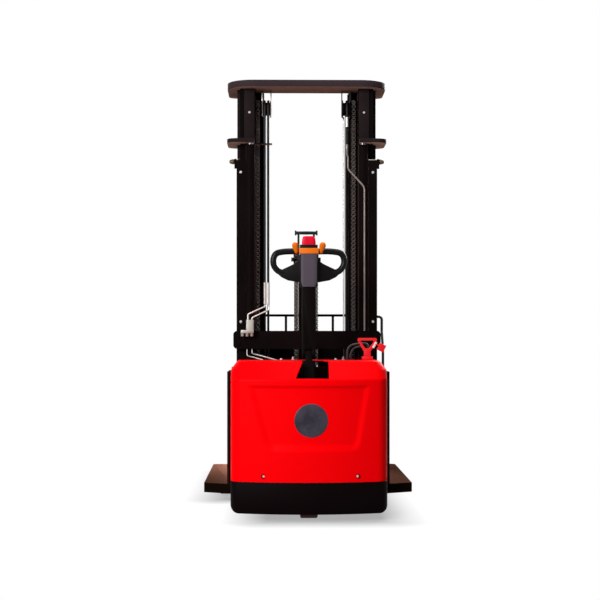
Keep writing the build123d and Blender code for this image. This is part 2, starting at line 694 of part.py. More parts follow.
def tiller_head():
    """The tiller's head: a centre body with two flared lower wings that carry the grip loops."""
    front = HEAD_REAR + HEAD_DEPTH
    body = block(-HEAD_HALF, HEAD_HALF, HEAD_REAR, front, HEAD_BOTTOM, BAND_BOTTOM)
    body = fillet(body.edges().filter_by(Axis.Z), HEAD_CORNER)
    root = HEAD_HALF - HEAD_CORNER
    points = [(root, HEAD_BOTTOM + WING_LOW)] + [(HEAD_HALF + x, HEAD_BOTTOM + z) for x, z in WING_EDGE]
    points.append((root, HEAD_BOTTOM + WING_HIGH))
    wing = front_plate(points, GRIP_Y - GRIP_TUBE, GRIP_Y + GRIP_TUBE, WING_CORNER)
    for each in pair(wing):
        body += each
    body += block(-HEAD_HALF, HEAD_HALF, HEAD_REAR + HEAD_WALL, front, BAND_BOTTOM, BUTTON_BASE)
    pocket = HEAD_HALF - HEAD_WALL
    body -= block(-pocket, pocket, HEAD_REAR + 2 * HEAD_WALL, front - HEAD_WALL, BAND_TOP, BUTTON_BASE + 1)
    body -= rod_x(-HEAD_HALF - 1, HEAD_HALF + 1, THROTTLE_Y, THROTTLE_Z, THROTTLE_SHAFT + FIT_GAP)
    return body


def grip():
    """The right grip loop: a tube from the head's shoulder round to the lower wing."""
    high = BAND_TOP - HEAD_WALL
    end = GRIP_HALF - GRIP_TUBE
    points = [(HEAD_HALF + THROTTLE_GAP, GRIP_Y, high), (end - GRIP_BEND, GRIP_Y, high - GRIP_DROOP),
              (end, GRIP_Y, high - GRIP_BEND - GRIP_DROOP), (end - GRIP_TUCK, GRIP_Y, HEAD_BOTTOM + GRIP_LOW)]
    return tube(points, GRIP_TUBE, (36, 22))


def tiller_panel():
    """The grey centre panel on the head's operator side, reaching down over the arm's top."""
    half = HEAD_HALF - PANEL_PROUD
    return front_plate([(-half, BAND_BOTTOM), (-half, HEAD_BOTTOM), (half, HEAD_BOTTOM), (half, BAND_BOTTOM)],
                       HEAD_REAR - PANEL_PROUD, HEAD_REAR, PANEL_PROUD)


def control_band():
    """The orange band across the head above the panel."""
    half = HEAD_HALF + PANEL_PROUD
    band = block(-half, half, HEAD_REAR - PANEL_PROUD, HEAD_REAR + HEAD_WALL, BAND_BOTTOM, BAND_TOP)
    return fillet(band.edges().filter_by(Axis.X), PANEL_PROUD - 1)


def throttle_wings():
    """The orange throttle: two thumb wings on one shaft through the head."""
    start = HEAD_HALF + PANEL_PROUD + THROTTLE_GAP
    hub = BAND_TOP - THROTTLE_Z
    with BuildSketch(Plane.YZ.offset(start)) as outline:
        with Locations((THROTTLE_Y, THROTTLE_Z)):
            Circle(hub)
        with BuildLine():
            Polyline((THROTTLE_Y - hub, THROTTLE_Z), (THROTTLE_Y - WING_LEAN, THROTTLE_Z + WING_RISE * 0.8),
                     (THROTTLE_Y - WING_LEAN / 2, THROTTLE_Z + WING_RISE), (THROTTLE_Y + hub, THROTTLE_Z),
                     close=True)
        make_face()
    wing = extrude(outline.sketch, THROTTLE_WIDTH)
    shape = rod_x(-start - 1, start + 1, THROTTLE_Y, THROTTLE_Z, THROTTLE_SHAFT)
    for each in pair(wing):
        shape += each
    return shape


def belly_button():
    """The crimson button at the tiller's end, a rounded block that presses down into the head."""
    half = HEAD_HALF - HEAD_WALL - ROLLER_GAP
    y0 = HEAD_REAR + 2 * HEAD_WALL + ROLLER_GAP
    y1 = HEAD_REAR + HEAD_DEPTH - HEAD_WALL - ROLLER_GAP
    low = BAND_TOP + BUTTON_TRAVEL + ROLLER_GAP
    button = block(-half, half, y0, y1, low, BUTTON_TOP)
    return fillet(button.edges().group_by(Axis.Z)[-1], HEAD_WALL - 1)


def battery():
    """The traction battery in its steel box, with two terminal posts."""
    half = CHASSIS_SIDE - BATTERY_SIDE_ROOM
    rear = STEER_Y + STEER_CLEAR + CHASSIS_PLATE + BOX_GAP
    front = BULKHEAD_Y - BOX_GAP
    top = HOOD_CREASE - BATTERY_TOP_ROOM
    inset = FLOOR_PLATE
    case = block(-half, half, rear, front, FLOOR_TOP, top)
    case -= block(-half + inset, half - inset, rear + inset, front - inset, top - inset, top + 1)
    for x in (-half / 2, half / 2):
        case += rod_z(x, (rear + front) / 2, top - inset, top + BOX_GAP, inset)
    return case


def hydraulic_power_pack():
    """The pump unit left of the drive: oil tank, pump block and upright motor."""
    left = -CHASSIS_SIDE + TRAY_GAP
    right = -STEER_CLEAR - CHASSIS_PLATE - BOX_GAP
    y = CHASSIS_SIDE_START
    tank_top = FLOOR_TOP + TANK_HEIGHT
    pump_top = tank_top + PUMP_HEIGHT
    tank = block(left, right, y - TANK_HALF, y + TANK_HALF, FLOOR_TOP, tank_top)
    tank = fillet(tank.edges().filter_by(Axis.Z), CHASSIS_PLATE)
    x = (left + right) / 2
    pump = block(x - PUMP_HALF, x + PUMP_HALF, y - PUMP_HALF, y + PUMP_HALF, tank_top, pump_top)
    return tank + pump + rod_z(x, y, pump_top, pump_top + PUMP_MOTOR_HEIGHT, PUMP_MOTOR_RADIUS)


def motor_controller():
    """The motor controller right of the drive, with cooling fins."""
    left = STEER_CLEAR + CHASSIS_PLATE + BOX_GAP
    right = CHASSIS_SIDE - TRAY_GAP
    rear = CHASSIS_SIDE_START - CONTROLLER_HALF
    top = FLOOR_TOP + CONTROLLER_HEIGHT
    case = block(left, right, rear, rear + 2 * CONTROLLER_HALF, FLOOR_TOP, top)
    y = rear + FIN_PLATE
    while y + FIN_PLATE < rear + 2 * CONTROLLER_HALF:
        case += block(left, right, y, y + FIN_PLATE, top, top + FIN_HEIGHT)
        y += FIN_PITCH
    return case


def connector_socket():
    """The battery connector's fixed half, standing on the hood's top."""
    x, y = CONNECTOR_X, CONNECTOR_Y
    top = HOOD_TOP + SOCKET_HEIGHT
    inner_x = SOCKET_HALF_X - SOCKET_WALL
    inner_y = SOCKET_HALF_Y - SOCKET_WALL
    body = block(x - SOCKET_HALF_X, x + SOCKET_HALF_X, y - SOCKET_HALF_Y, y + SOCKET_HALF_Y, HOOD_TOP, top)
    return body - block(x - inner_x, x + inner_x, y - inner_y, y + inner_y, HOOD_TOP + SOCKET_FLOOR, top + 1)


def connector_handle():
    """The red pull handle: a plug half with a flat tapered loop to grip."""
    x, y = CONNECTOR_X, CONNECTOR_Y
    plug_x = SOCKET_HALF_X - SOCKET_WALL - ROLLER_GAP
    plug_y = SOCKET_HALF_Y - SOCKET_WALL - ROLLER_GAP
    plug = block(x - plug_x, x + plug_x, y - plug_y, y + plug_y, HOOD_TOP + SOCKET_FLOOR + ROLLER_GAP,
                 HOOD_TOP + PLUG_TOP)
    base = HOOD_TOP + LOOP_BASE
    top = base + LOOP_HEIGHT
    low, high, bar = LOOP_HALF_LOW, LOOP_HALF_HIGH, LOOP_BAR
    loop = front_plate([(x - low, base), (x - high, top - CHASSIS_PLATE), (x - high + bar / 3, top),
                        (x + high - bar / 3, top), (x + high, top - CHASSIS_PLATE), (x + low, base)],
                       y - LOOP_PLATE / 2, y + LOOP_PLATE / 2, PANEL_PROUD)
    hole = front_plate([(x - low + bar * 0.75, base + bar), (x - high + bar, top - bar),
                        (x + high - bar, top - bar), (x + low - bar * 0.75, base + bar)],
                       y - LOOP_PLATE, y + LOOP_PLATE, PANEL_PROUD)
    return plug + loop - hole


def battery_cables():
    """Two cables that arch from behind the connector down through the hood's top."""
    start = HOOD_TOP + SOCKET_HEIGHT / 2
    face = CONNECTOR_Y + SOCKET_HALF_Y
    cables = []
    for step in (0, 1):
        x = CONNECTOR_X + SOCKET_WALL - step * 2 * SOCKET_WALL
        end = CONNECTOR_X - CABLE_DROP + step * CABLE_PITCH
        y = face + CABLE_PITCH * (step + 1)
        top = HOOD_TOP + CABLE_ARCH - step * CABLE_PITCH
        points = [(x, face, start), (x, y, start), (x, y, top), (end, y, top), (end, y, HOOD_TOP)]
        cables.append(tube(points, CABLE_RADIUS, (8, 18, 30)))
    return cables


def rail(web_x, rear, depth, flange_out, flange_in, flange_plate, bottom, top):
    """A right-hand mast rail: a web along Y with flanges on one or both sides, at both ends."""
    middle = rear + depth / 2
    with BuildSketch(Plane.XY.offset(bottom)) as section:
        with Locations((web_x + RAIL_WEB / 2, middle)):
            Rectangle(RAIL_WEB, depth)
        width = flange_out + flange_in + RAIL_WEB
        centre = web_x + RAIL_WEB / 2 + (flange_out - flange_in) / 2
        for y in (rear + flange_plate / 2, rear + depth - flange_plate / 2):
            with Locations((centre, y)):
                Rectangle(width, flange_plate)
    return extrude(section.sketch, top - bottom)


def outer_rail():
    """The fixed outer rail, a channel that opens inwards."""
    return mast(rail(OUTER_WEB_X, OUTER_REAR, OUTER_DEPTH, 0, OUTER_FLANGE - RAIL_WEB, OUTER_FLANGE_PLATE,
                     OUTER_BOTTOM, OUTER_TOP))


def middle_rail():
    """The middle rail: a beam that runs in the outer rail and guides the inner one."""
    shape = rail(MIDDLE_WEB_X, MIDDLE_REAR, MIDDLE_DEPTH, MIDDLE_FLANGE, MIDDLE_FLANGE, MIDDLE_FLANGE_PLATE,
                 MIDDLE_BOTTOM, TIE_TOP - TIE_PLATE)
    web_end = MIDDLE_WEB_X + RAIL_WEB
    shape -= block(web_end, web_end + MIDDLE_FLANGE + 1, MIDDLE_REAR - 1,
                   MIDDLE_REAR + MIDDLE_FLANGE_PLATE + 1, MIDDLE_BOTTOM - 1, ROLLER_Z + MIDDLE_DEPTH / 2)
    return mast(shape)


def inner_rail():
    """The inner rail: its outer flanges run in the middle rail, its inner lips guide the carriage."""
    shape = rail(INNER_WEB_X, INNER_REAR, INNER_DEPTH, INNER_FLANGE, INNER_LIP, INNER_FLANGE_PLATE,
                 INNER_BOTTOM, TIE_TOP - INNER_TIE_PLATE - INNER_TIE_DROP)
    reach = INNER_FLANGE + 1
    web_end = INNER_WEB_X + RAIL_WEB
    shape -= block(web_end, web_end + reach, INNER_REAR - 1, INNER_REAR + INNER_FLANGE_PLATE + 1,
                   INNER_BOTTOM - 1, ROLLER_Z + MIDDLE_DEPTH / 2)
    return mast(shape)


def roller(x0, y, z, radius, stub_from):
    """A mast roller on its stub axle: a flanged disc with a stepped face."""
    x1 = x0 + ROLLER_WIDTH
    disc = rod_x(x0, x1, y, z, radius)
    disc -= rod_x(x1 - 2, x1 + 1, y, z, radius * 0.7)
    return disc + rod_x(stub_from, x0, y, z, STUB_RADIUS)


def middle_rollers():
    """Rollers at the middle rails' feet, which run in the outer rails."""
    inside = OUTER_DEPTH - 2 * OUTER_FLANGE_PLATE
    y = OUTER_REAR + OUTER_DEPTH / 2
    start = MIDDLE_WEB_X + RAIL_WEB
    return pair(mast(roller(start + STUB_LENGTH, y, ROLLER_Z, inside / 2 - ROLLER_GAP, start)))


def inner_rollers():
    """Rollers at the inner rails' feet, which run in the middle rails."""
    inside = MIDDLE_DEPTH - 2 * MIDDLE_FLANGE_PLATE
    y = MIDDLE_REAR + MIDDLE_DEPTH / 2
    start = INNER_WEB_X + RAIL_WEB
    arm_end = INNER_REAR + 2 * INNER_FLANGE_PLATE
    low = ROLLER_Z - STUB_RADIUS
    high = ROLLER_Z + STUB_RADIUS
    arm_x = start + INNER_ARM_PAD
    face = arm_x + INNER_ARM_PLATE
    wheel = roller(face + 1, y, ROLLER_Z, inside / 2 - ROLLER_GAP, face - 1)
    arm = block(arm_x, face, y - STUB_RADIUS, arm_end, low, high)
    arm += block(start, arm_x, INNER_REAR, arm_end, low, high)
    return pair(mast(wheel + arm))


def groove_y(radius):
    """Depth of a pipe that runs between the cross-beam and a lift cylinder."""
    return LIFT_Y - LIFT_BARREL_RADIUS - radius - PIPE_GAP


def supply_places():
    """The x places of the two supply pipes under the valve block."""
    return BLOCK_LEFT + SUPPLY_RADIUS, BLOCK_RIGHT - UNION_RADIUS


def outer_cross_members():
    """The cross-beam with rounded ends and chain anchors, and the base tie under the lift cylinders."""
    beam = front_plate([(-BEAM_HALF, BEAM_BOTTOM), (BEAM_HALF, BEAM_BOTTOM), (BEAM_HALF, BEAM_TOP),
                        (-BEAM_HALF, BEAM_TOP)], 0, BEAM_PLATE, BEAM_CORNER)
    beam = Pos(0, BEAM_REAR, 0) * beam
    beam_front = BEAM_REAR + BEAM_PLATE
    grooves = [(LIFT_X + PIPE_RADIUS, PIPE_RADIUS)] + [(x, SUPPLY_RADIUS) for x in supply_places()]
    for x, radius in grooves:
        reach = radius + SUPPLY_GAP
        beam -= block(x - reach, x + reach, groove_y(radius) - reach, beam_front + 1, BEAM_BOTTOM - 1,
                      BEAM_TOP + 1)
    pad_x = LIFT_X + LIFT_BARREL_RADIUS + BLOCK_GAP
    pad = block(pad_x, MAST_HALF, beam_front, OUTER_REAR, BEAM_BOTTOM, BEAM_TOP)
    run = SHEAVE_Y - SHEAVE_PITCH
    half = CHAIN_WIDTH / 2
    anchor = block(CHAIN_X - half, CHAIN_X + half, beam_front, run + CHAIN_THICK / 2,
                   CHAIN_ANCHOR_Z - BEAM_PLATE, CHAIN_ANCHOR_Z)
    for each in pair(pad) + pair(anchor):
        beam += each
    tie_rear = BULKHEAD_Y + BULKHEAD_PLATE - MAST_Y
    tie = block(-MAST_HALF, MAST_HALF, tie_rear, OUTER_REAR, OUTER_BOTTOM, BASE_TIE_TOP)
    seat = block(LIFT_X - LIFT_BARREL_RADIUS, LIFT_X + LIFT_BARREL_RADIUS, OUTER_REAR,
                 LIFT_Y + LIFT_BARREL_RADIUS, BASE_TIE_TOP - FLANGE_PLATE, BASE_TIE_TOP)
    for each in pair(seat):
        tie += each
    return [mast(beam), mast(tie)]


def cylinder_clamp():
    """The right side clamp near the rail's top: a tapered lug with a bolt and nut."""
    z = OUTER_TOP - CLAMP_DROP
    y = OUTER_REAR + CLAMP_REACH / 2
    face = MAST_HALF + CLAMP_PLATE
    lug = side_plate([(OUTER_REAR, z - CLAMP_HALF), (OUTER_REAR + CLAMP_REACH, z - CLAMP_HALF / 2),
                      (OUTER_REAR + CLAMP_REACH, z + CLAMP_HALF / 2), (OUTER_REAR, z + CLAMP_HALF)],
                     MAST_HALF, face, PANEL_PROUD)
    nut = Pos(face, y, z) * Rot(0, 90, 0) * extrude(RegularPolygon(CLAMP_NUT, 6), CLAMP_NUT)
    return mast(lug + nut + rod_x(face, face + 2 * CLAMP_NUT, y, z, CLAMP_BOLT))


def lift_barrel():
    """The right lift cylinder's barrel, bored for its rod."""
    body = rod_z(LIFT_X, LIFT_Y, BASE_TIE_TOP, LIFT_BARREL_TOP, LIFT_BARREL_RADIUS)
    body -= rod_z(LIFT_X, LIFT_Y, BASE_TIE_TOP + ROD_SEAT, LIFT_BARREL_TOP + 1, LIFT_ROD_RADIUS + FIT_GAP)
    return mast(body)


def lift_rod():
    """The right lift cylinder's rod, which pushes the ear plate up."""
    return mast(rod_z(LIFT_X, LIFT_Y, BASE_TIE_TOP + ROD_SEAT + 1, EAR_BOTTOM, LIFT_ROD_RADIUS))


def top_tie_plan():
    """The top tie's C-shaped outline, well rounded towards the operator."""
    with BuildSketch(Plane.XY.offset(TIE_TOP - TIE_PLATE)) as plan:
        with Locations((0, TIE_ARM_DEPTH / 2)):
            Rectangle(2 * TIE_HALF, TIE_ARM_DEPTH)
        with Locations((0, (TIE_BAR_DEPTH + TIE_ARM_DEPTH) / 2)):
            Rectangle(2 * TIE_ARM_INNER, TIE_ARM_DEPTH - TIE_BAR_DEPTH, mode=Mode.SUBTRACT)
        fillet([v for v in plan.vertices() if v.Y < 1], TIE_CORNER)
        tips = [v for v in plan.vertices() if v.Y > TIE_ARM_DEPTH - 1]
        fillet([v for v in tips if abs(v.X) > TIE_HALF - 1], TIE_ARM_CORNER)
        fillet([v for v in plan.vertices() if abs(v.Y - TIE_BAR_DEPTH) < 1], TIE_INNER_CORNER)
    return plan.sketch


def middle_cross_members():
    """The C-shaped top tie with its sheave hangers, and the flat bottom tie."""
    tie = extrude(top_tie_plan(), TIE_PLATE)
    low = SHEAVE_Z - SHEAVE_PITCH + HANGER_GAP
    edge = CHAIN_WIDTH / 2 + SHEAVE_SIDE + HANGER_GAP
    end = CHAIN_X + edge + HANGER_PLATE
    for x in (CHAIN_X + edge, CHAIN_X - edge - HANGER_PLATE, HANGER_INNER):
        for side in pair(block(x, x + HANGER_PLATE, SHEAVE_Y - HANGER_HALF, SHEAVE_Y + HANGER_HALF, low,
                               TIE_TOP - TIE_PLATE)):
            tie += side
    for pin in pair(rod_x(HANGER_INNER, end, SHEAVE_Y, SHEAVE_Z, SHEAVE_PIN)):
        tie += pin
    web = MIDDLE_WEB_X + RAIL_WEB
    rear = SHEAVE_Y - SHEAVE_PITCH + CHAIN_THICK
    bottom = block(-web, web, rear, rear + INNER_TIE_DEPTH, MIDDLE_BOTTOM - BEAM_PLATE, MIDDLE_BOTTOM)
    return [mast(tie), mast(bottom)]


def hose_guide():
    """The thin plate off the rail's flange that steadies the left hoses, with room for the chain."""
    run = SHEAVE_Y - SHEAVE_PITCH
    top = EAR_BOTTOM + GUIDE_PLATE
    guide = block(-MIDDLE_WEB_X, LEFT_HOSES[1] + EAR_PLATE, MIDDLE_REAR + MIDDLE_FLANGE_PLATE,
                  run + EAR_PLATE / 2, EAR_BOTTOM, top)
    for x in LEFT_HOSES:
        guide -= rod_z(x, run, EAR_BOTTOM - 1, top + 1, HOSE_RADIUS + 1)
    half = CHAIN_WIDTH / 2 + SHEAVE_SIDE
    return guide - block(-CHAIN_X - half, -CHAIN_X + half, run - CHAIN_THICK, run + EAR_PLATE,
                         EAR_BOTTOM - 1, top + 1)


def middle_head_box():
    """The ear plates, with the head-box panels above and below them, and the left hose guide."""
    with BuildSketch(Plane.XY.offset(EAR_BOTTOM)) as plan:
        with Locations(((EAR_INNER + TIE_HALF) / 2, EAR_DEPTH / 2)):
            Rectangle(TIE_HALF - EAR_INNER, EAR_DEPTH)
        fillet([v for v in plan.vertices() if v.X > TIE_HALF - 1], EAR_CORNER)
    ear = mast(extrude(plan.sketch, EAR_PLATE)) - middle_rail()
    ear -= mast(block(0, MIDDLE_WEB_X, MIDDLE_REAR, EAR_DEPTH + 1, EAR_BOTTOM - 1, EAR_TOP + 1))
    panel_top = TIE_TOP - TIE_PLATE
    rear_panel = block(EAR_INNER, HEAD_PANEL_OUTER, MIDDLE_REAR - HEAD_PANEL_PLATE, MIDDLE_REAR,
                       EAR_TOP, panel_top)
    start = MIDDLE_WEB_X + RAIL_WEB + MIDDLE_FLANGE
    end = start + HEAD_SIDE_PLATE
    side_panel = block(start, end, HEAD_SIDE_REAR, HEAD_SIDE_FRONT, EAR_TOP, panel_top)
    side_foot = block(start, end, HEAD_SIDE_REAR, EAR_DEPTH, OUTER_TOP + HEAD_SIDE_GAP, EAR_BOTTOM)
    panels = [mast(each) for each in pair(rear_panel) + pair(side_panel) + pair(side_foot)]
    return pair(ear) + panels + [mast(hose_guide())]


def sheave(x0, x1, root, rim, y, z, bore):
    """A grooved sheave along X with a bore for its pin."""
    shape = rod_x(x0, x1, y, z, root)
    shape += rod_x(x0, x0 + SHEAVE_FLANGE, y, z, rim) + rod_x(x1 - SHEAVE_FLANGE, x1, y, z, rim)
    return shape - rod_x(x0 - 1, x1 + 1, y, z, bore)


def mast_sheaves():
    """Chain and hose sheaves at the middle mast's top, all on one axis line."""
    root = SHEAVE_ROOT - SHEAVE_GAP
    edge = CHAIN_WIDTH / 2 + SHEAVE_SIDE
    bore = SHEAVE_PIN + FIT_GAP
    chain = sheave(CHAIN_X - edge, CHAIN_X + edge, root, SHEAVE_RIM, SHEAVE_Y, SHEAVE_Z, bore)
    end = CHAIN_X - edge - HANGER_PLATE - 2 * HANGER_GAP
    hose = sheave(HANGER_INNER + HANGER_PLATE + 2 * HANGER_GAP, end, SHEAVE_PITCH - HOSE_RADIUS - SHEAVE_GAP,
                  SHEAVE_RIM, SHEAVE_Y, SHEAVE_Z, bore)
    return [mast(each) for each in pair(chain) + pair(hose)]


def strap_over(x, y, z, pitch, width, thick, low):
    """A chain's bend over its sheave, and its run down the load side."""
    outer = rod_x(x - width / 2, x + width / 2, y, z, pitch + thick / 2)
    outer -= rod_x(x - width, x + width, y, z, pitch - thick / 2)
    outer -= block(x - width, x + width, y - 2 * pitch, y + 2 * pitch, z - 2 * pitch, z)
    return outer + block(x - width / 2, x + width / 2, y + pitch - thick / 2, y + pitch + thick / 2, low, z)


def chain_rear_runs():
    """The lift chains' runs from the cross-beam's anchors up to the sheaves."""
    y = SHEAVE_Y - SHEAVE_PITCH
    half = CHAIN_WIDTH / 2
    thick = CHAIN_THICK / 2
    run = block(CHAIN_X - half, CHAIN_X + half, y - thick, y + thick, CHAIN_ANCHOR_Z, SHEAVE_Z)
    return pair(mast(run))


def chain_front_runs():
    """The lift chains over the sheaves and down to the inner mast's foot."""
    return pair(mast(strap_over(CHAIN_X, SHEAVE_Y, SHEAVE_Z, SHEAVE_PITCH, CHAIN_WIDTH, CHAIN_THICK,
                                CHAIN_END_Z)))


def hose_rear_runs():
    """The hoses from their fixed ends on the outer mast up to the sheaves."""
    y = SHEAVE_Y - SHEAVE_PITCH
    runs = [rod_z(x, y, LEFT_HOSE_START, SHEAVE_Z, HOSE_RADIUS) for x in LEFT_HOSES]
    runs.append(rod_z(RIGHT_HOSE, y, RIGHT_HOSE_START, SHEAVE_Z, HOSE_RADIUS))
    return [mast(run) for run in runs]


def hose_front_runs():
    """The hoses over the sheaves and down to the inner mast's foot."""
    runs = []
    for x in LEFT_HOSES + (RIGHT_HOSE,):
        with BuildLine() as path:
            CenterArc((0, 0), SHEAVE_PITCH, 0, 180)
            Line((SHEAVE_PITCH, 0), (SHEAVE_PITCH, CHAIN_END_Z - SHEAVE_Z))
        route = Plane(origin=(x, SHEAVE_Y, SHEAVE_Z), x_dir=(0, 1, 0), z_dir=(1, 0, 0)) * path.wire()
        section = Plane(origin=route @ 0, z_dir=route % 0) * Circle(HOSE_RADIUS)
        runs.append(mast(sweep(section, path=route)))
    return runs


def upper_pipes():
    """Two pipes from the left hoses' ferrules down to the valve block."""
    run = SHEAVE_Y - SHEAVE_PITCH
    rear = BLOCK_REAR / 2
    low = LEFT_HOSE_START - FERRULE_LENGTH
    pipes = []
    targets = (BLOCK_LEFT + UNION_RADIUS, BLOCK_RIGHT - UNION_RADIUS)
    for x, target, drop in zip(LEFT_HOSES, targets, PIPE_DROPS):
        points = [(x, run, low), (x, run, low - drop / 2), (x, rear, low - drop),
                  (target, rear, low - drop - PIPE_FALL), (target, rear, BLOCK_TOP)]
        pipe = tube(points, PIPE_RADIUS, (7, 12, 9)) + rod_z(x, run, low, LEFT_HOSE_START, FERRULE_RADIUS)
        pipes.append(pipe)
    return pipes


def supply_pipes():
    """Two thin pipes from the valve block down behind the cross-beam, then sloping to the bulkhead's edge."""
    inner = groove_y(SUPPLY_RADIUS)
    edge = BULKHEAD_Y + BULKHEAD_PLATE / 2 - MAST_Y
    pipes = []
    for x, bend, run in zip(supply_places(), SUPPLY_BENDS, SUPPLY_RUNS):
        start = x + 2 * BULKHEAD_PLATE
        points = [(x, inner, BLOCK_BOTTOM), (x, inner, bend), (start, edge, bend - BULKHEAD_PLATE / 2),
                  (start + run, edge, bend - BULKHEAD_PLATE / 2 - run * SUPPLY_SLOPE),
                  (start + run, edge, BULKHEAD_TOP)]
        pipes.append(tube(points, SUPPLY_RADIUS, (10, 10, 5)))
    return pipes


def right_pipe():
    """The pipe up behind the right lift cylinder, which jogs over to the right hose."""
    run = SHEAVE_Y - SHEAVE_PITCH
    x = LIFT_X + PIPE_RADIUS
    y = groove_y(PIPE_RADIUS)
    end = RIGHT_HOSE_START - FERRULE_SHORT
    points = [(x, y, BASE_TIE_TOP), (x, y, RIGHT_HOSE_START - PIPE_JOG_LOW),
              (RIGHT_HOSE, y, RIGHT_HOSE_START - PIPE_JOG_HIGH), (RIGHT_HOSE, y, end - PIPE_TURN),
              (RIGHT_HOSE, run, end - FERRULE_SHORT), (RIGHT_HOSE, run, end)]
    ferrule = rod_z(RIGHT_HOSE, run, end, RIGHT_HOSE_START, FERRULE_RADIUS)
    return tube(points, PIPE_RADIUS, (40, 30, 20, 8)) + ferrule


def steel_pipes():
    """Every steel pipe on the outer mast."""
    return [mast(pipe) for pipe in upper_pipes() + supply_pipes() + [right_pipe()]]


def valve_block():
    """The aluminium valve block on the cross-beam, with its bolted flange."""
    body = block(BLOCK_LEFT, BLOCK_RIGHT, BLOCK_REAR, BLOCK_FRONT, BLOCK_BOTTOM, BLOCK_TOP)
    body = chamfer(body.edges().filter_by(Axis.Z), 3)
    flange_low = BLOCK_BOTTOM - BLOCK_FLANGE
    body += block(BLOCK_FLANGE_LEFT, BLOCK_RIGHT, BLOCK_REAR, BEAM_REAR, flange_low, BLOCK_BOTTOM)
    y = BLOCK_REAR + UNION_RADIUS
    step = (BLOCK_RIGHT - BLOCK_FLANGE_LEFT - 2 * UNION_RADIUS) / 2
    nut = extrude(RegularPolygon(UNION_RADIUS, 6), UNION_DROP - BLOCK_FLANGE)
    for count in range(3):
        x = BLOCK_FLANGE_LEFT + UNION_RADIUS + count * step
        body += Pos(x, y, BLOCK_BOTTOM - UNION_DROP) * nut
    return mast(body)


def side_hose():
    """The black hose from the right rail's side, past the cross-beam's end and down to the bulkhead."""
    edge = BULKHEAD_Y + BULKHEAD_PLATE / 2 - MAST_Y
    radius = SIDE_HOSE_RADIUS
    x = BEAM_HALF + radius + SIDE_HOSE_GAP
    y = OUTER_REAR + OUTER_FLANGE
    points = [(MAST_HALF, y, SIDE_HOSE_TOP), (x, y, SIDE_HOSE_TOP), (x, y, BEAM_TOP), (x, edge, BEAM_BOTTOM),
              (x, edge, BULKHEAD_TOP)]
    return mast(tube(points, radius, (14, 20, 20)))


def free_barrel():
    """The free-lift cylinder's barrel on the inner mast's foot."""
    body = rod_z(0, FREE_Y, FOOT_TOP, FREE_BARREL_TOP, FREE_BARREL_RADIUS)
    body -= rod_z(0, FREE_Y, FOOT_TOP + ROD_SEAT, FREE_BARREL_TOP + 1, FREE_ROD_RADIUS + FIT_GAP)
    return mast(body)


def inner_cross_members():
    """The inner mast's top tie, nested in the C-shaped tie, and its foot with the chain and hose anchors."""
    rail_half = INNER_WEB_X + RAIL_WEB + INNER_FLANGE
    top_high = TIE_TOP - INNER_TIE_DROP
    top = block(-rail_half, rail_half, INNER_REAR, INNER_REAR + INNER_TIE_DEPTH,
                top_high - INNER_TIE_PLATE, top_high)
    lip = INNER_WEB_X - INNER_LIP
    foot = block(-lip, lip, INNER_REAR, INNER_REAR + INNER_DEPTH, INNER_BOTTOM, FOOT_TOP)
    run = SHEAVE_Y + SHEAVE_PITCH
    tongue = block(HANGER_INNER, CHAIN_X + CHAIN_WIDTH / 2, run - CHAIN_THICK / 2, INNER_REAR,
                   CHAIN_END_Z - FOOT_PLATE, CHAIN_END_Z)
    for each in pair(tongue):
        foot += each
    return [mast(top), mast(foot)]


def crosshead_guard():
    """The right half of the hoop above the crosshead: a bracketed post, and a bar with a disc at its end."""
    y = FREE_Y - GUARD_SETBACK
    inner = GUARD_X - 4 * GUARD_POST
    low = CROSSHEAD_Z - CROSSHEAD_HALF / 2
    high = CROSSHEAD_Z + CROSSHEAD_HALF / 2
    bracket = block(inner, GUARD_X + GUARD_POST, y - GUARD_POST, y + GUARD_POST, low, high)
    bracket += block(inner, GUARD_X - 2 * GUARD_POST, y, FREE_Y - CROSSHEAD_HALF, low, high)
    post = rod_z(GUARD_X, y, low, GUARD_TOP, GUARD_POST)
    bar = rod_x(0, GUARD_HALF, y, GUARD_TOP, GUARD_BAR)
    return bracket + post + bar + rod_x(GUARD_HALF - GUARD_DISC_PLATE, GUARD_HALF, y, GUARD_TOP, GUARD_DISC)


def free_rod():
    """The free-lift rod with its crosshead, sheave pin and hoop."""
    shape = rod_z(0, FREE_Y, FOOT_TOP + ROD_SEAT + 1, CROSSHEAD_Z - CROSSHEAD_HALF, FREE_ROD_RADIUS)
    half = FREE_SHEAVE_X - FREE_CHAIN_WIDTH / 2 - SHEAVE_SIDE - HANGER_GAP
    head = block(-half, half, FREE_Y - CROSSHEAD_HALF, FREE_Y + CROSSHEAD_HALF, CROSSHEAD_Z - CROSSHEAD_HALF,
                 CROSSHEAD_Z + CROSSHEAD_HALF)
    shape += fillet(head.edges().filter_by(Axis.X), CROSSHEAD_HALF / 3)
    shape += rod_x(-CROSSHEAD_PIN_HALF, CROSSHEAD_PIN_HALF, FREE_Y, CROSSHEAD_Z, SHEAVE_PIN)
    for each in pair(crosshead_guard()):
        shape += each
    return mast(shape)


def free_sheaves():
    """The two sheaves on the crosshead's pin."""
    edge = FREE_CHAIN_WIDTH / 2 + SHEAVE_SIDE
    right = sheave(FREE_SHEAVE_X - edge, FREE_SHEAVE_X + edge, FREE_ROOT - SHEAVE_GAP, FREE_SHEAVE_RIM,
                   FREE_Y, CROSSHEAD_Z, SHEAVE_PIN + FIT_GAP)
    return [mast(each) for each in pair(right)]


def free_chain_rear():
    """The free-lift chains from the inner mast's foot up to the crosshead."""
    y = FREE_Y - FREE_PITCH
    half = FREE_CHAIN_WIDTH / 2
    thick = FREE_CHAIN_THICK / 2
    run = block(FREE_SHEAVE_X - half, FREE_SHEAVE_X + half, y - thick, y + thick, FOOT_TOP, CROSSHEAD_Z)
    return pair(mast(run))


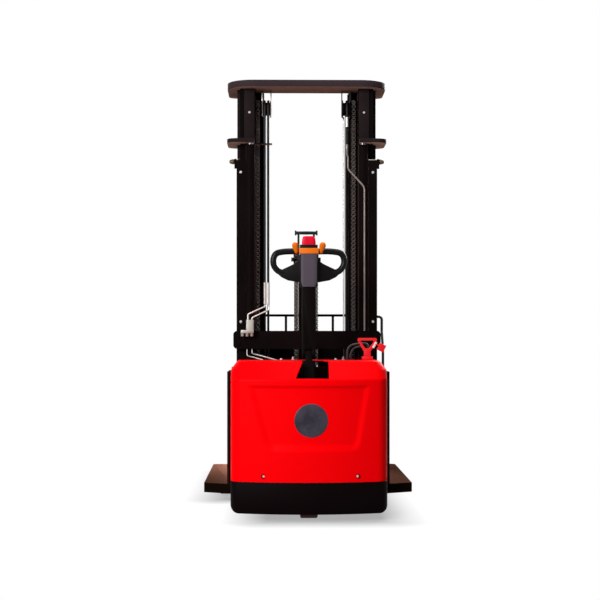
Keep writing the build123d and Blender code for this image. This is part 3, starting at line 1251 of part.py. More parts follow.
def free_chain_front():
    """The free-lift chains over the crosshead and down to the carriage."""
    return pair(mast(strap_over(FREE_SHEAVE_X, FREE_Y, CROSSHEAD_Z, FREE_PITCH, FREE_CHAIN_WIDTH,
                                FREE_CHAIN_THICK, FREE_CHAIN_ANCHOR)))


def track(x_web, x_open, y):
    """A vertical channel that a scissor roller runs in, open towards x_open."""
    inside = TRACK_ROLLER + ROLLER_GAP
    web_end = x_web + TRACK_PLATE if x_open > x_web else x_web - TRACK_PLATE
    shape = block(x_web, web_end, y - inside - TRACK_PLATE, y + inside + TRACK_PLATE, TRACK_BOTTOM, TRACK_TOP)
    for y0 in (y - inside - TRACK_PLATE, y + inside):
        shape += block(web_end, x_open, y0, y0 + TRACK_PLATE, TRACK_BOTTOM, TRACK_TOP)
    return shape


def pivot_lug(x0, x1, y, wall):
    """A lug with a bore for a scissor shaft, standing off a wall at one side."""
    shape = rod_x(x0, x1, y, REACH_PIVOT_Z, LUG_RADIUS)
    shape += block(x0, x1, min(y, wall), max(y, wall), REACH_PIVOT_Z - LUG_RADIUS, REACH_PIVOT_Z + LUG_RADIUS)
    return shape - rod_x(x0 - 1, x1 + 1, y, REACH_PIVOT_Z, REACH_SHAFT + FIT_GAP)


def mast_carriage():
    """The carriage in the inner rails: side and cross plates, scissor tracks, pivot lugs, chain anchors."""
    inner = CARRIAGE_HALF - CARRIAGE_PLATE
    rear = FREE_Y - STUB_RADIUS * 1.5
    cross_rear = CARRIAGE_FRONT - CARRIAGE_CROSS
    side = side_plate([(rear, CARRIAGE_BOTTOM), (CARRIAGE_FRONT, CARRIAGE_BOTTOM),
                       (CARRIAGE_FRONT, CARRIAGE_TOP), (rear, CARRIAGE_TOP)],
                      inner, CARRIAGE_HALF, CHASSIS_PLATE)
    shape = block(-inner, inner, cross_rear, CARRIAGE_FRONT, CARRIAGE_BOTTOM, CARRIAGE_BOTTOM + CROSS_HEIGHT)
    for low in (TRACK_BOTTOM, CARRIAGE_TOP - CROSS_HEIGHT):
        shape += block(-inner, inner, cross_rear, CARRIAGE_FRONT, low, low + CROSS_HEIGHT)
    open_x = ARM_B_X - ARM_GAP
    channel = track(open_x - TRACK_WIDTH, open_x, REACH_PIVOT_Y)
    lug_x = ARM_A_X + ARM_PLATE + ARM_GAP
    lug = pivot_lug(lug_x, lug_x + ARM_PLATE, REACH_PIVOT_Y, CARRIAGE_FRONT)
    ear_y = FREE_Y + FREE_PITCH
    half = FREE_CHAIN_WIDTH / 2
    ear = block(FREE_SHEAVE_X - half, FREE_SHEAVE_X + half, ear_y - half, cross_rear,
                FREE_CHAIN_ANCHOR - CARRIAGE_CROSS, FREE_CHAIN_ANCHOR)
    for piece in (side, channel, lug, ear):
        for each in pair(piece):
            shape += each
    return mast(shape)


def carriage_rollers():
    """The carriage's rollers in the inner rails."""
    inside = INNER_DEPTH - 2 * INNER_FLANGE_PLATE
    rollers = []
    start = CARRIAGE_HALF + CARRIAGE_STUB
    for z in (CARRIAGE_BOTTOM + CARRIAGE_ROLLER_INSET, CARRIAGE_TOP - CARRIAGE_ROLLER_INSET):
        rollers += pair(mast(roller(start, FREE_Y, z, inside / 2 - ROLLER_GAP, CARRIAGE_HALF)))
    return rollers


def scissor_arm(x0, y0, z0, y1, z1):
    """A flat arm with round ends between two points, as thick as the arm plate."""
    plane = Plane(origin=(x0, (y0 + y1) / 2, (z0 + z1) / 2), x_dir=(0, y1 - y0, z1 - z0), z_dir=(1, 0, 0))
    return extrude(plane * SlotCenterToCenter(REACH_ARM, 2 * ARM_HALF), ARM_PLATE)


def scissor_centre():
    """The point where the two arms cross, in the mast's own layout."""
    return (REACH_PIVOT_Y + REACH_REST_Y) / 2, (REACH_PIVOT_Z + REACH_TOP_Z) / 2


def scissor_arms_a():
    """The arms pinned low on the mast carriage, on one shaft with the crank, with load-end rollers."""
    arm = scissor_arm(ARM_A_X, REACH_PIVOT_Y, REACH_PIVOT_Z, REACH_REST_Y, REACH_TOP_Z)
    y, z = scissor_centre()
    arm += rod_x(ARM_B_X, ARM_A_X, y, z, REACH_SHAFT)
    outside = ARM_A_X + ARM_PLATE
    roller_end = outside + STUB_LENGTH + TRACK_ROLLER_WIDTH
    arm += rod_x(outside, outside + STUB_LENGTH, REACH_REST_Y, REACH_TOP_Z, STUB_RADIUS)
    arm += rod_x(outside + STUB_LENGTH, roller_end, REACH_REST_Y, REACH_TOP_Z, TRACK_ROLLER)
    end = outside + ARM_GAP + ARM_PLATE
    shape = rod_x(-end, end, REACH_PIVOT_Y, REACH_PIVOT_Z, REACH_SHAFT)
    for each in pair(arm):
        shape += each
    tilt = REACH_SWING_DEG / 2
    crank = Plane.YZ.offset(-CRANK_PIN) * Rot(0, 0, tilt) * (
        Pos(CRANK_LENGTH / 2, 0) * SlotCenterToCenter(CRANK_LENGTH, CRANK_WIDTH)
        - Pos(CRANK_LENGTH, 0) * SlotCenterToCenter(CRANK_SLOT, 2 * CRANK_PIN + 2 * ARM_GAP))
    return mast(shape + Pos(0, REACH_PIVOT_Y, REACH_PIVOT_Z) * extrude(crank, 2 * CRANK_PIN))


def scissor_arms_b():
    """The crossing arms, pinned low on the fork carriage, with rollers in the mast carriage's tracks."""
    arm = scissor_arm(ARM_B_X, REACH_PIVOT_Y, REACH_TOP_Z, REACH_REST_Y, REACH_PIVOT_Z)
    y, z = scissor_centre()
    arm -= rod_x(ARM_B_X - 1, ARM_B_X + ARM_PLATE + 1, y, z, REACH_SHAFT + FIT_GAP)
    roller_end = ARM_B_X - STUB_LENGTH
    arm += rod_x(roller_end, ARM_B_X, REACH_PIVOT_Y, REACH_TOP_Z, STUB_RADIUS)
    arm += rod_x(roller_end - TRACK_ROLLER_WIDTH, roller_end, REACH_PIVOT_Y, REACH_TOP_Z, TRACK_ROLLER)
    shape = rod_x(-ARM_B_X, ARM_B_X, REACH_REST_Y, REACH_PIVOT_Z, REACH_SHAFT)
    for each in pair(arm):
        shape += each
    return mast(shape)


def crank_rest():
    """The crank pin's place at rest and at mid swing, averaged for the rod's line."""
    tilt = radians(REACH_SWING_DEG / 2)
    y = REACH_PIVOT_Y + CRANK_LENGTH * (1 + cos(tilt)) / 2
    return y, REACH_PIVOT_Z + CRANK_LENGTH * sin(tilt)


def reach_cylinder():
    """The reach cylinder's barrel, bracketed to the carriage's cross plate."""
    y, z = crank_rest()
    bottom = z + REACH_BARREL_DROP
    top = TRACK_BOTTOM + REACH_BARREL_RISE
    radius = REACH_BARREL_RADIUS
    barrel = rod_z(0, y, bottom, top, radius)
    barrel -= rod_z(0, y, bottom - 1, top - REACH_FORK_DEPTH, REACH_ROD_RADIUS + FIT_GAP)
    arm = block(-radius, radius, CARRIAGE_FRONT, y, TRACK_BOTTOM, top - REACH_FORK_DEPTH)
    return mast(barrel + (arm - rod_z(0, y, bottom, top, radius - 1)))


def reach_rod():
    """The reach cylinder's rod with a forked end and pin for the crank."""
    y, z = crank_rest()
    top = TRACK_BOTTOM + REACH_BARREL_RISE - 2 * REACH_FORK_DEPTH
    half = REACH_FORK_HALF
    web = z + REACH_FORK_TOP - REACH_FORK_WEB
    rod = rod_z(0, y, web, top, REACH_ROD_RADIUS)
    depth = REACH_FORK_DEPTH
    clevis = block(-half, half, y - depth, y + depth, z - depth, z + REACH_FORK_TOP)
    clevis -= block(-CRANK_PIN - 1, CRANK_PIN + 1, y - half, y + half, z - half, web)
    return mast(rod + clevis + rod_x(-half, half, y, z, CRANK_PIN))


def backrest_places():
    """The x places of the backrest's upright rods, which stand a little to the operator's right."""
    return [BACKREST_SHIFT + step * BACKREST_PITCH for step in range(-2, 3)]


def fork_carriage():
    """The fork carriage: scissor tracks, pivot lugs, two fork bars and the load backrest."""
    web = ARM_A_X + ARM_PLATE + ARM_GAP
    channel = track(web + TRACK_WIDTH, web, REACH_REST_Y)
    lug_x = ARM_B_X - ARM_GAP
    lug = pivot_lug(lug_x - ARM_PLATE, lug_x, REACH_REST_Y, FORK_BAR_Y)
    back = FORK_BAR_Y + FORK_BAR_PLATE
    low = FORK_BOTTOM + FORK_THICK + FORK_BAR_GAP
    bar_top = FORK_SHANK_TOP - FORK_HOOK
    shape = block(-FORK_BAR_HALF, FORK_BAR_HALF, FORK_BAR_Y, back, low, low + FORK_BAR_HEIGHT)
    shape += block(-FORK_BAR_HALF, FORK_BAR_HALF, FORK_BAR_Y, back, TRACK_BOTTOM, bar_top)
    upright = block(web, web + TRACK_WIDTH, FORK_BAR_Y, back, low, TRACK_TOP)
    for piece in (channel, lug, upright):
        for each in pair(piece):
            shape += each
    y = (FORK_BAR_Y + back) / 2
    top = BACKREST_TOP - BACKREST_ROD
    end = FORK_BAR_HALF - BACKREST_ROD
    shape += rod_x(-FORK_BAR_HALF, FORK_BAR_HALF, y, top, BACKREST_ROD)
    for x in backrest_places() + [-end, end]:
        shape += rod_z(x, y, bar_top - BACKREST_ROD, top, BACKREST_ROD)
    return mast(shape)


def fork():
    """The right fork: a tapered blade with a rounded heel and a shank hooked over the fork bars."""
    back = FORK_BAR_Y + FORK_BAR_PLATE
    top = FORK_BOTTOM + FORK_THICK
    heel = FORK_THICK
    tip = FORK_FACE_Y + FORK_LENGTH
    with BuildSketch(Plane.YZ.offset(FORK_X - FORK_WIDTH / 2)) as outline:
        with BuildLine():
            Line((back, FORK_SHANK_TOP), (back, FORK_BOTTOM + heel))
            RadiusArc((back, FORK_BOTTOM + heel), (back + heel, FORK_BOTTOM), -heel)
            Polyline((back + heel, FORK_BOTTOM), (tip, top - FORK_TIP), (tip, top), (FORK_FACE_Y, top),
                     (FORK_FACE_Y, FORK_SHANK_TOP), (back, FORK_SHANK_TOP))
        make_face()
    shape = extrude(outline.sketch, FORK_WIDTH)
    corners = shape.edges().filter_by(Axis.Z).sort_by(Axis.Y)[-2:]
    shape = fillet(corners, FORK_WIDTH * 0.35)
    hook = block(FORK_X - FORK_WIDTH / 2, FORK_X + FORK_WIDTH / 2, FORK_BAR_Y - FORK_BAR_GAP, back,
                 FORK_SHANK_TOP - FORK_HOOK + ROLLER_GAP, FORK_SHANK_TOP)
    for x in backrest_places():
        hook -= rod_z(abs(x), (FORK_BAR_Y + back) / 2, FORK_BOTTOM, FORK_SHANK_TOP + 1, BACKREST_ROD + 1)
    return mast(shape + hook)


os.makedirs("parts", exist_ok=True)

save("chassis_frame", chassis_frame())
for side_name, shape in zip(("right", "left"), pair(leg())):
    save(f"{side_name}_leg", shape)
for side_name, shape in zip(("right", "left"), pair(load_wheel())):
    save(f"{side_name}_load_wheel", shape)
save("load_wheel_axles", pair(load_axle()))
save("hood", hood())
save("bumper_skirt", bumper_skirt())
save("battery", battery())
save("hydraulic_power_pack", hydraulic_power_pack())
save("motor_controller", motor_controller())
save("connector_socket", connector_socket())
save("connector_handle", connector_handle())
save("battery_cables", battery_cables())

save("drive_gearbox", drive_gearbox())
save("drive_motor", drive_motor())
save("drive_hub", drive_hub())
save("drive_tyre", drive_tyre())

save("tiller_post", tiller_post())
save("tiller_arm", tiller_arm())
save("tiller_head", tiller_head())
save("tiller_grips", pair(grip()))
save("tiller_panel", tiller_panel())
save("control_band", control_band())
save("throttle_wings", throttle_wings())
save("belly_button", belly_button())

save("outer_rails", pair(outer_rail()))
save("outer_cross_members", outer_cross_members())
save("cylinder_clamps", pair(cylinder_clamp()))
save("lift_barrels", pair(lift_barrel()))
save("lift_chain_rear_runs", chain_rear_runs())
save("hose_rear_runs", hose_rear_runs())
save("steel_pipes", steel_pipes())
save("valve_block", valve_block())
save("side_hose", side_hose())

save("middle_rails", pair(middle_rail()))
save("middle_cross_members", middle_cross_members())
save("middle_head_box", middle_head_box())
save("middle_rollers", middle_rollers())
save("lift_rods", pair(lift_rod()))
save("mast_sheaves", mast_sheaves())
save("lift_chain_front_runs", chain_front_runs())
save("hose_front_runs", hose_front_runs())

save("inner_rails", pair(inner_rail()))
save("inner_cross_members", inner_cross_members())
save("inner_rollers", inner_rollers())
save("free_lift_barrel", free_barrel())
save("free_lift_rod", free_rod())
save("free_lift_sheaves", free_sheaves())
save("free_chain_rear_runs", free_chain_rear())
save("free_chain_front_runs", free_chain_front())

save("mast_carriage", mast_carriage())
save("carriage_rollers", carriage_rollers())
save("scissor_arms_a", scissor_arms_a())
save("scissor_arms_b", scissor_arms_b())
save("reach_cylinder", reach_cylinder())
save("reach_rod", reach_rod())
save("fork_carriage", fork_carriage())
save("forks", pair(fork()))
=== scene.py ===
"""Looks of a walkie reach stacker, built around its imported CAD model.

Metres. +X is the operator's right, +Y points towards the load, +Z is up and the floor is z = 0.
"""
from __future__ import annotations

import json
import logging
import math
from dataclasses import dataclass, replace
from enum import Enum
from typing import Callable, Iterable, Sequence

import bmesh
import bpy
from mathutils import Matrix, Vector

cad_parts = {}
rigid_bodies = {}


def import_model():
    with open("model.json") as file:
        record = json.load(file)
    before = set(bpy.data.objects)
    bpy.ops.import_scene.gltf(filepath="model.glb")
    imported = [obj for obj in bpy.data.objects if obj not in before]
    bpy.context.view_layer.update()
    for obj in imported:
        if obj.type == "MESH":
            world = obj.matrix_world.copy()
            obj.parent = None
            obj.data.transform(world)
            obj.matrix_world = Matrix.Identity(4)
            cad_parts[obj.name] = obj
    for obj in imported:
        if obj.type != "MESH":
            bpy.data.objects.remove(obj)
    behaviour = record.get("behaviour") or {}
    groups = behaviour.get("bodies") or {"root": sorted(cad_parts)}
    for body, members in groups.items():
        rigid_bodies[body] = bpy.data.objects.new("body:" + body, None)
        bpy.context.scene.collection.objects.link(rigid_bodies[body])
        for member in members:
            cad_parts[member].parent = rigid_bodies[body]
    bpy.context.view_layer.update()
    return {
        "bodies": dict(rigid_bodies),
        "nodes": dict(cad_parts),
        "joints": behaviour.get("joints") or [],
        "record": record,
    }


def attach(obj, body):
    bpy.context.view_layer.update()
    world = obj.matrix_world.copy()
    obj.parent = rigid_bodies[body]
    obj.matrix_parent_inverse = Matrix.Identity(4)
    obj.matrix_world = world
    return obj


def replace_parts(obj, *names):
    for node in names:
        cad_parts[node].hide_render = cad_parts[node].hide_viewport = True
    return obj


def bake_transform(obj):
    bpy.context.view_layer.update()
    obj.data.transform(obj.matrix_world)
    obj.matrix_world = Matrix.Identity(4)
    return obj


LOG = logging.getLogger("reach_stacker")

Pair = tuple[float, float]
Point = tuple[float, float, float]

HOOD_REAR = -1.043294
HOOD_TOP = 0.673
MAST_REAR = HOOD_REAR + 0.490
SIDES = (("left", -1), ("right", 1))


class Body(Enum):
    """The CAD bodies that pieces ride on."""

    CHASSIS = "chassis"
    STEER = "steer_unit"
    DRIVE = "drive_wheel"
    TILLER = "tiller"
    BUTTON = "belly_button"
    THROTTLE = "throttle"
    CONNECTOR = "connector_handle"
    MIDDLE = "middle_mast"
    INNER = "inner_mast"
    CROSSHEAD = "crosshead"
    CARRIAGE = "mast_carriage"


def linear(hex_colour: str) -> tuple[float, float, float, float]:
    """Turn a written colour into the linear values that shaders take.

    Args:
        hex_colour: Six hexadecimal digits.

    Returns:
        Red, green and blue as linear values, and full alpha.
    """
    parts = [int(hex_colour[i:i + 2], 16) / 255 for i in (0, 2, 4)]
    red, green, blue = (p / 12.92 if p <= 0.04045 else ((p + 0.055) / 1.055) ** 2.4 for p in parts)
    return red, green, blue, 1.0


def ease(value: float) -> float:
    """A soft step from 0 to 1."""
    held = min(1.0, max(0.0, value))
    return held * held * (3 - 2 * held)


def turns(count: int, start: float = 0.0) -> list[float]:
    """Angles evenly round a circle, from a share of the first step."""
    return [2 * math.pi * (k + start) / count for k in range(count)]


def squared(angle: float, power: float) -> Pair:
    """A point of a circle that is drawn out towards a square; a power of 1 leaves the circle."""
    c, s = math.cos(angle), math.sin(angle)
    return math.copysign(abs(c) ** power, c), math.copysign(abs(s) ** power, s)


def placed(name: str, data: bpy.types.ID) -> bpy.types.Object:
    """Make an object and put it in the scene.

    Args:
        name: Its name.
        data: Its mesh, curve, lamp or camera.

    Returns:
        The object.
    """
    made = bpy.data.objects.new(name, data)
    bpy.context.scene.collection.objects.link(made)
    return made


class Wires:
    """Adds nodes to a tree under short names, fills their inputs and links them by name."""

    def __init__(self, tree: bpy.types.NodeTree, **known: bpy.types.Node) -> None:
        """Take the tree and those of its nodes that are there already."""
        self.tree = tree
        self.nodes = known

    @classmethod
    def group(cls, name: str, kind: str, inputs: dict[str, str], outputs: dict[str, str]) -> Wires:
        """Start a node group with its sockets.

        Args:
            name: The group's name.
            kind: The type of its tree.
            inputs: Names and types of its inputs.
            outputs: Names and types of its outputs.

        Returns:
            The wires of the new tree, with its nodes enter and leave.
        """
        tree = bpy.data.node_groups.new(name, kind)
        for way, sockets in (("INPUT", inputs), ("OUTPUT", outputs)):
            for socket, type_name in sockets.items():
                tree.interface.new_socket(socket, in_out=way, socket_type=f"NodeSocket{type_name}")
        made = cls(tree)
        made.add("enter", "NodeGroupInput")
        made.add("leave", "NodeGroupOutput")
        return made

    def add(self, name: str, kind: str, inputs: dict | None = None, **settings: object) -> None:
        """Add a node.

        Args:
            name: Its short name.
            kind: Its type.
            inputs: Values of its inputs, by name or number.
            settings: Its own settings, which are made first.
        """
        self.nodes[name] = self.tree.nodes.new(kind)
        for key, value in settings.items():
            setattr(self.nodes[name], key, value)
        self.fill(name, inputs or {})

    def fill(self, name: str, inputs: dict) -> None:
        """Set values of a node's inputs."""
        for key, value in inputs.items():
            self.nodes[name].inputs[key].default_value = value

    def join(self, *rows: str) -> None:
        """Link outputs to inputs.

        Args:
            rows: Each link as "node.output > node.input", with a number where input names repeat.
        """
        for row in rows:
            (start, output), (end, entry) = (side.split(".") for side in row.split(" > "))
            goal = self.nodes[end].inputs[int(entry) if entry.isdigit() else entry]
            self.tree.links.new(self.nodes[start].outputs[output], goal)


class SurfaceGroup:
    """The shared shader group that mottles a colour, varies its gloss and gives a fine relief."""

    NAME = "surface_variation"
    INPUTS = {"Colour": "Color", "Worn Colour": "Color", "Mottle": "Float", "Mottle Scale": "Float",
              "Grain Scale": "Float", "Roughness": "Float", "Gloss Spread": "Float"}
    OUTPUTS = {"Colour": "Color", "Roughness": "Float", "Height": "Float"}
    CLOUD = {"Detail": 5.0}
    GRAIN = {"Detail": 2.0}
    SPREAD = {"From Min": 0.35, "From Max": 0.75}

    def tree(self) -> bpy.types.ShaderNodeTree:
        """Give the group, building it on first use."""
        return bpy.data.node_groups.get(self.NAME) or self._build()

    def _build(self) -> bpy.types.ShaderNodeTree:
        """Build the group.

        Returns:
            The new node tree.
        """
        wires = Wires.group(self.NAME, "ShaderNodeTree", self.INPUTS, self.OUTPUTS)
        wires.add("place", "ShaderNodeTexCoord")
        wires.add("cloud", "ShaderNodeTexNoise", self.CLOUD)
        wires.add("grain", "ShaderNodeTexNoise", self.GRAIN)
        wires.add("spread", "ShaderNodeMapRange", self.SPREAD)
        wires.add("share", "ShaderNodeMath", operation="MULTIPLY")
        wires.add("mix", "ShaderNodeMix", data_type="RGBA")
        wires.add("gloss", "ShaderNodeMath", operation="MULTIPLY_ADD")
        wires.join("place.Object > cloud.Vector", "place.Object > grain.Vector",
                   "enter.Mottle Scale > cloud.Scale", "enter.Grain Scale > grain.Scale",
                   "cloud.Fac > spread.Value", "spread.Result > share.0", "enter.Mottle > share.1",
                   "share.Value > mix.Factor", "enter.Colour > mix.A", "enter.Worn Colour > mix.B",
                   "spread.Result > gloss.0", "enter.Gloss Spread > gloss.1", "enter.Roughness > gloss.2",
                   "mix.Result > leave.Colour", "gloss.Value > leave.Roughness", "grain.Fac > leave.Height")
        return wires.tree


@dataclass(frozen=True)
class Finish:
    """A finish: its colour, how it varies and how it shines."""

    name: str
    colour: str
    worn: str
    roughness: float
    slot: str
    metallic: float = 0.0
    specular: float = 0.3
    sheen: float = 0.0
    sheen_tint: str = "ffffff"
    sheen_roughness: float = 0.35
    mottle: float = 0.25
    mottle_scale: float = 7.0
    grain_scale: float = 700.0
    grain_depth: float = 0.04
    grain_height: float = 0.001
    gloss_spread: float = 0.08

    def material(self) -> bpy.types.Material:
        """Give the finish's material, building it on first use."""
        name = f"{self.name}_finish"
        return bpy.data.materials.get(name) or self._build(name)

    def _build(self, name: str) -> bpy.types.Material:
        """Build the material.

        Args:
            name: Its name.

        Returns:
            The new material.
        """
        made = bpy.data.materials.new(name)
        made.use_nodes = True
        wires = Wires(made.node_tree, shader=made.node_tree.nodes["Principled BSDF"])
        wires.fill("shader", {"Metallic": self.metallic, "Specular IOR Level": self.specular,
                              "Sheen Weight": self.sheen, "Sheen Tint": linear(self.sheen_tint),
                              "Sheen Roughness": self.sheen_roughness})
        wires.add("surface", "ShaderNodeGroup",
                  {"Colour": linear(self.colour), "Worn Colour": linear(self.worn), "Mottle": self.mottle,
                   "Mottle Scale": self.mottle_scale, "Grain Scale": self.grain_scale,
                   "Roughness": self.roughness, "Gloss Spread": self.gloss_spread},
                  node_tree=SurfaceGroup().tree())
        wires.add("bump", "ShaderNodeBump", {"Strength": self.grain_depth, "Distance": self.grain_height})
        wires.join("surface.Colour > shader.Base Color", "surface.Roughness > shader.Roughness",
                   "surface.Height > bump.Height", "bump.Normal > shader.Normal")
        return made


RED_PAINT = Finish("red_paint", "f20006", "f8060a", 0.38, "red_paint", specular=0.015, mottle=0.30,
                   mottle_scale=2.2, grain_scale=420, grain_depth=0.015, gloss_spread=0.05)
BLACK_PAINT = Finish("black_paint", "070404", "100909", 0.45, "black_paint", specular=0.025, sheen=0.03,
                     sheen_tint="c8835f", mottle=0.5, mottle_scale=9, grain_scale=600, grain_depth=0.08)
FRAME_PAINT = Finish("frame_paint", "200d06", "2c150c", 0.55, "black_paint", specular=0.015, mottle=0.5,
                     mottle_scale=9, grain_scale=600, grain_depth=0.08)
LEG_PAINT = Finish("leg_paint", "0c0705", "150c09", 0.50, "black_paint", specular=0.0, sheen=0.95,
                   sheen_tint="ffae92", sheen_roughness=0.30, mottle=0.5, grain_scale=600, grain_depth=0.08)
MAST_BLACK = Finish("mast_black", "0c0808", "181012", 0.45, "mast_black", specular=0.006, sheen=0.20,
                    sheen_tint="d9b3a4", mottle=0.5, mottle_scale=6, grain_scale=500, grain_depth=0.08)
# Lighter copies of the mast black for the head box and the tie: painted light on the same black paint.
LIT_HEAD_BLACK = replace(MAST_BLACK, name="head_paint", colour="1f1819", worn="2b2324", sheen=0.24)
LIT_TIE_BLACK = replace(MAST_BLACK, name="tie_paint", colour="31272a", worn="3d3234")
# Light brown for faces that look down: a painted reflection of a warm floor, not the black paint's own
# colour.
UNDERSIDE_REFLECTION = Finish("under_brown", "cda495", "b58b7c", 0.60, "mast_black", specular=0.0, mottle=0.6,
                     mottle_scale=9)
TIE_UNDERSIDE_REFLECTION = replace(UNDERSIDE_REFLECTION, name="tie_under", colour="a78073", worn="967061")
SKIRT_BLACK = Finish("skirt_black", "080304", "0e0707", 0.48, "skirt_black", specular=0.02, mottle=0.4,
                     grain_depth=0.10)
BLACK_PLASTIC = Finish("black_plastic", "0a0707", "130e0f", 0.46, "black_plastic", specular=0.06, mottle=0.3,
                       grain_scale=1500, grain_depth=0.20)
GRIP_GLOSS = replace(BLACK_PLASTIC, name="grip_gloss", colour="080707", worn="0f0d0e", roughness=0.24,
                     specular=0.10, grain_depth=0.06)
PANEL_GREY = Finish("panel_grey", "453c46", "50464f", 0.46, "panel_grey", specular=0.15, mottle=0.4,
                    grain_scale=1400, grain_depth=0.12)
ORANGE = Finish("orange_plastic", "dc6604", "e27610", 0.40, "orange_plastic", specular=0.15, mottle=0.4)
CRIMSON = Finish("crimson_plastic", "d00426", "da1030", 0.36, "crimson_plastic", specular=0.12, mottle=0.3)
RED_PLASTIC = Finish("red_plastic", "d2101c", "e42428", 0.40, "red_plastic", specular=0.2, mottle=0.4)
DRIVE_TREAD = Finish("drive_tread", "4a1c14", "5e2419", 0.62, "drive_tread", specular=0.15, mottle=0.6,
                     mottle_scale=25, grain_scale=400, grain_depth=0.3)
LOAD_TREAD = replace(DRIVE_TREAD, name="load_tread", colour="2c2420", worn="4a3c34", slot="load_tread")
HOSE_RUBBER = Finish("hose_rubber", "121012", "211d1f", 0.50, "hose_rubber", specular=0.2, grain_scale=1200,
                     grain_depth=0.25)
BARE_STEEL = Finish("bare_steel", "a8a4a1", "837e7a", 0.36, "bare_steel", metallic=1.0, mottle=0.6,
                    mottle_scale=30, grain_depth=0.06)
ZINC = Finish("zinc", "bdb6b2", "a09996", 0.38, "zinc", metallic=0.85, mottle=0.5, mottle_scale=40)
CHAIN_STEEL = Finish("chain_steel", "453f3c", "5f5752", 0.40, "chain_steel", metallic=0.4, specular=0.10,
                     mottle=0.7, mottle_scale=40, grain_depth=0.1)
CHROME = Finish("rod_chrome", "a6a6a9", "98989c", 0.22, "rod_chrome", metallic=1.0, mottle=0.3)
ALUMINIUM = Finish("block_aluminium", "9a9790", "85817a", 0.42, "block_aluminium", metallic=0.5, mottle=0.4,
                   mottle_scale=50)
GEAR_IRON = Finish("gear_iron", "2c2928", "3e3937", 0.58, "gear_iron", metallic=0.3, mottle=0.6,
                   mottle_scale=18, grain_scale=260, grain_depth=0.35)
BATTERY_CASE = Finish("battery_case", "242428", "303036", 0.45, "battery_case", specular=0.2, mottle=0.4)
BADGE_SLATE = Finish("badge_slate", "2a2630", "46424e", 0.36, "panel_grey", specular=0.12, mottle=0.9,
                     mottle_scale=18)
BRASS = Finish("brass_nut", "4e4234", "6e5f48", 0.36, "zinc", metallic=0.8, mottle=0.5, mottle_scale=60)
# A darker copy of the zinc for the right pipe: painted shade.
SHADED_PIPE = Finish("dull_pipe", "7d736e", "665c58", 0.42, "zinc", metallic=0.6, specular=0.2, mottle=0.6,
                   mottle_scale=25)
BOLT_STEEL = Finish("bolt_steel", "b4aeae", "98918f", 0.40, "zinc", metallic=0.7, mottle=0.5, mottle_scale=60)
# A darker copy of the chrome for the lift rods: painted shade below the head box.
SHADED_ROD_CHROME = replace(CHROME, name="rod_steel", colour="77777b", worn="6a6a6e", roughness=0.26)
CABLE_SHEATH = Finish("cable_sheath", "1c1a1a", "2a2727", 0.30, "hose_rubber", specular=0.45,
                      grain_scale=1200, grain_depth=0.05)
HOOP_PAINT = Finish("hoop_paint", "1c2220", "343a36", 0.42, "mast_black", specular=0.06, mottle=0.6,
                    mottle_scale=40)
WHITE_SLEEVE = Finish("white_sleeve", "dedad8", "c8c4c2", 0.5, "zinc", mottle=0.4, mottle_scale=60)
# Dark red for the cups round the hood screws: painted shade of a recess.
CUP_PAINTED_SHADE = Finish("seam_red", "3c0406", "2a0304", 0.5, "red_paint", specular=0.04)

SLOT_FINISHES = {finish.slot: finish for finish in (
    RED_PAINT, BLACK_PAINT, MAST_BLACK, SKIRT_BLACK, BLACK_PLASTIC, PANEL_GREY, ORANGE, CRIMSON, RED_PLASTIC,
    DRIVE_TREAD, LOAD_TREAD, HOSE_RUBBER, BARE_STEEL, ZINC, CHAIN_STEEL, CHROME, ALUMINIUM, GEAR_IRON,
    BATTERY_CASE)}
NODE_FINISHES = {"left_leg": LEG_PAINT, "right_leg": LEG_PAINT, "chassis_frame": FRAME_PAINT,
                 "middle_head_box": LIT_HEAD_BLACK, "lift_rods": SHADED_ROD_CHROME, "middle_cross_members": LIT_TIE_BLACK}


@dataclass(frozen=True)
class Section:
    """One level of a moulded form: a rounded rectangle seen from above."""

    x: float
    y: float
    z: float
    half_x: float
    half_y: float


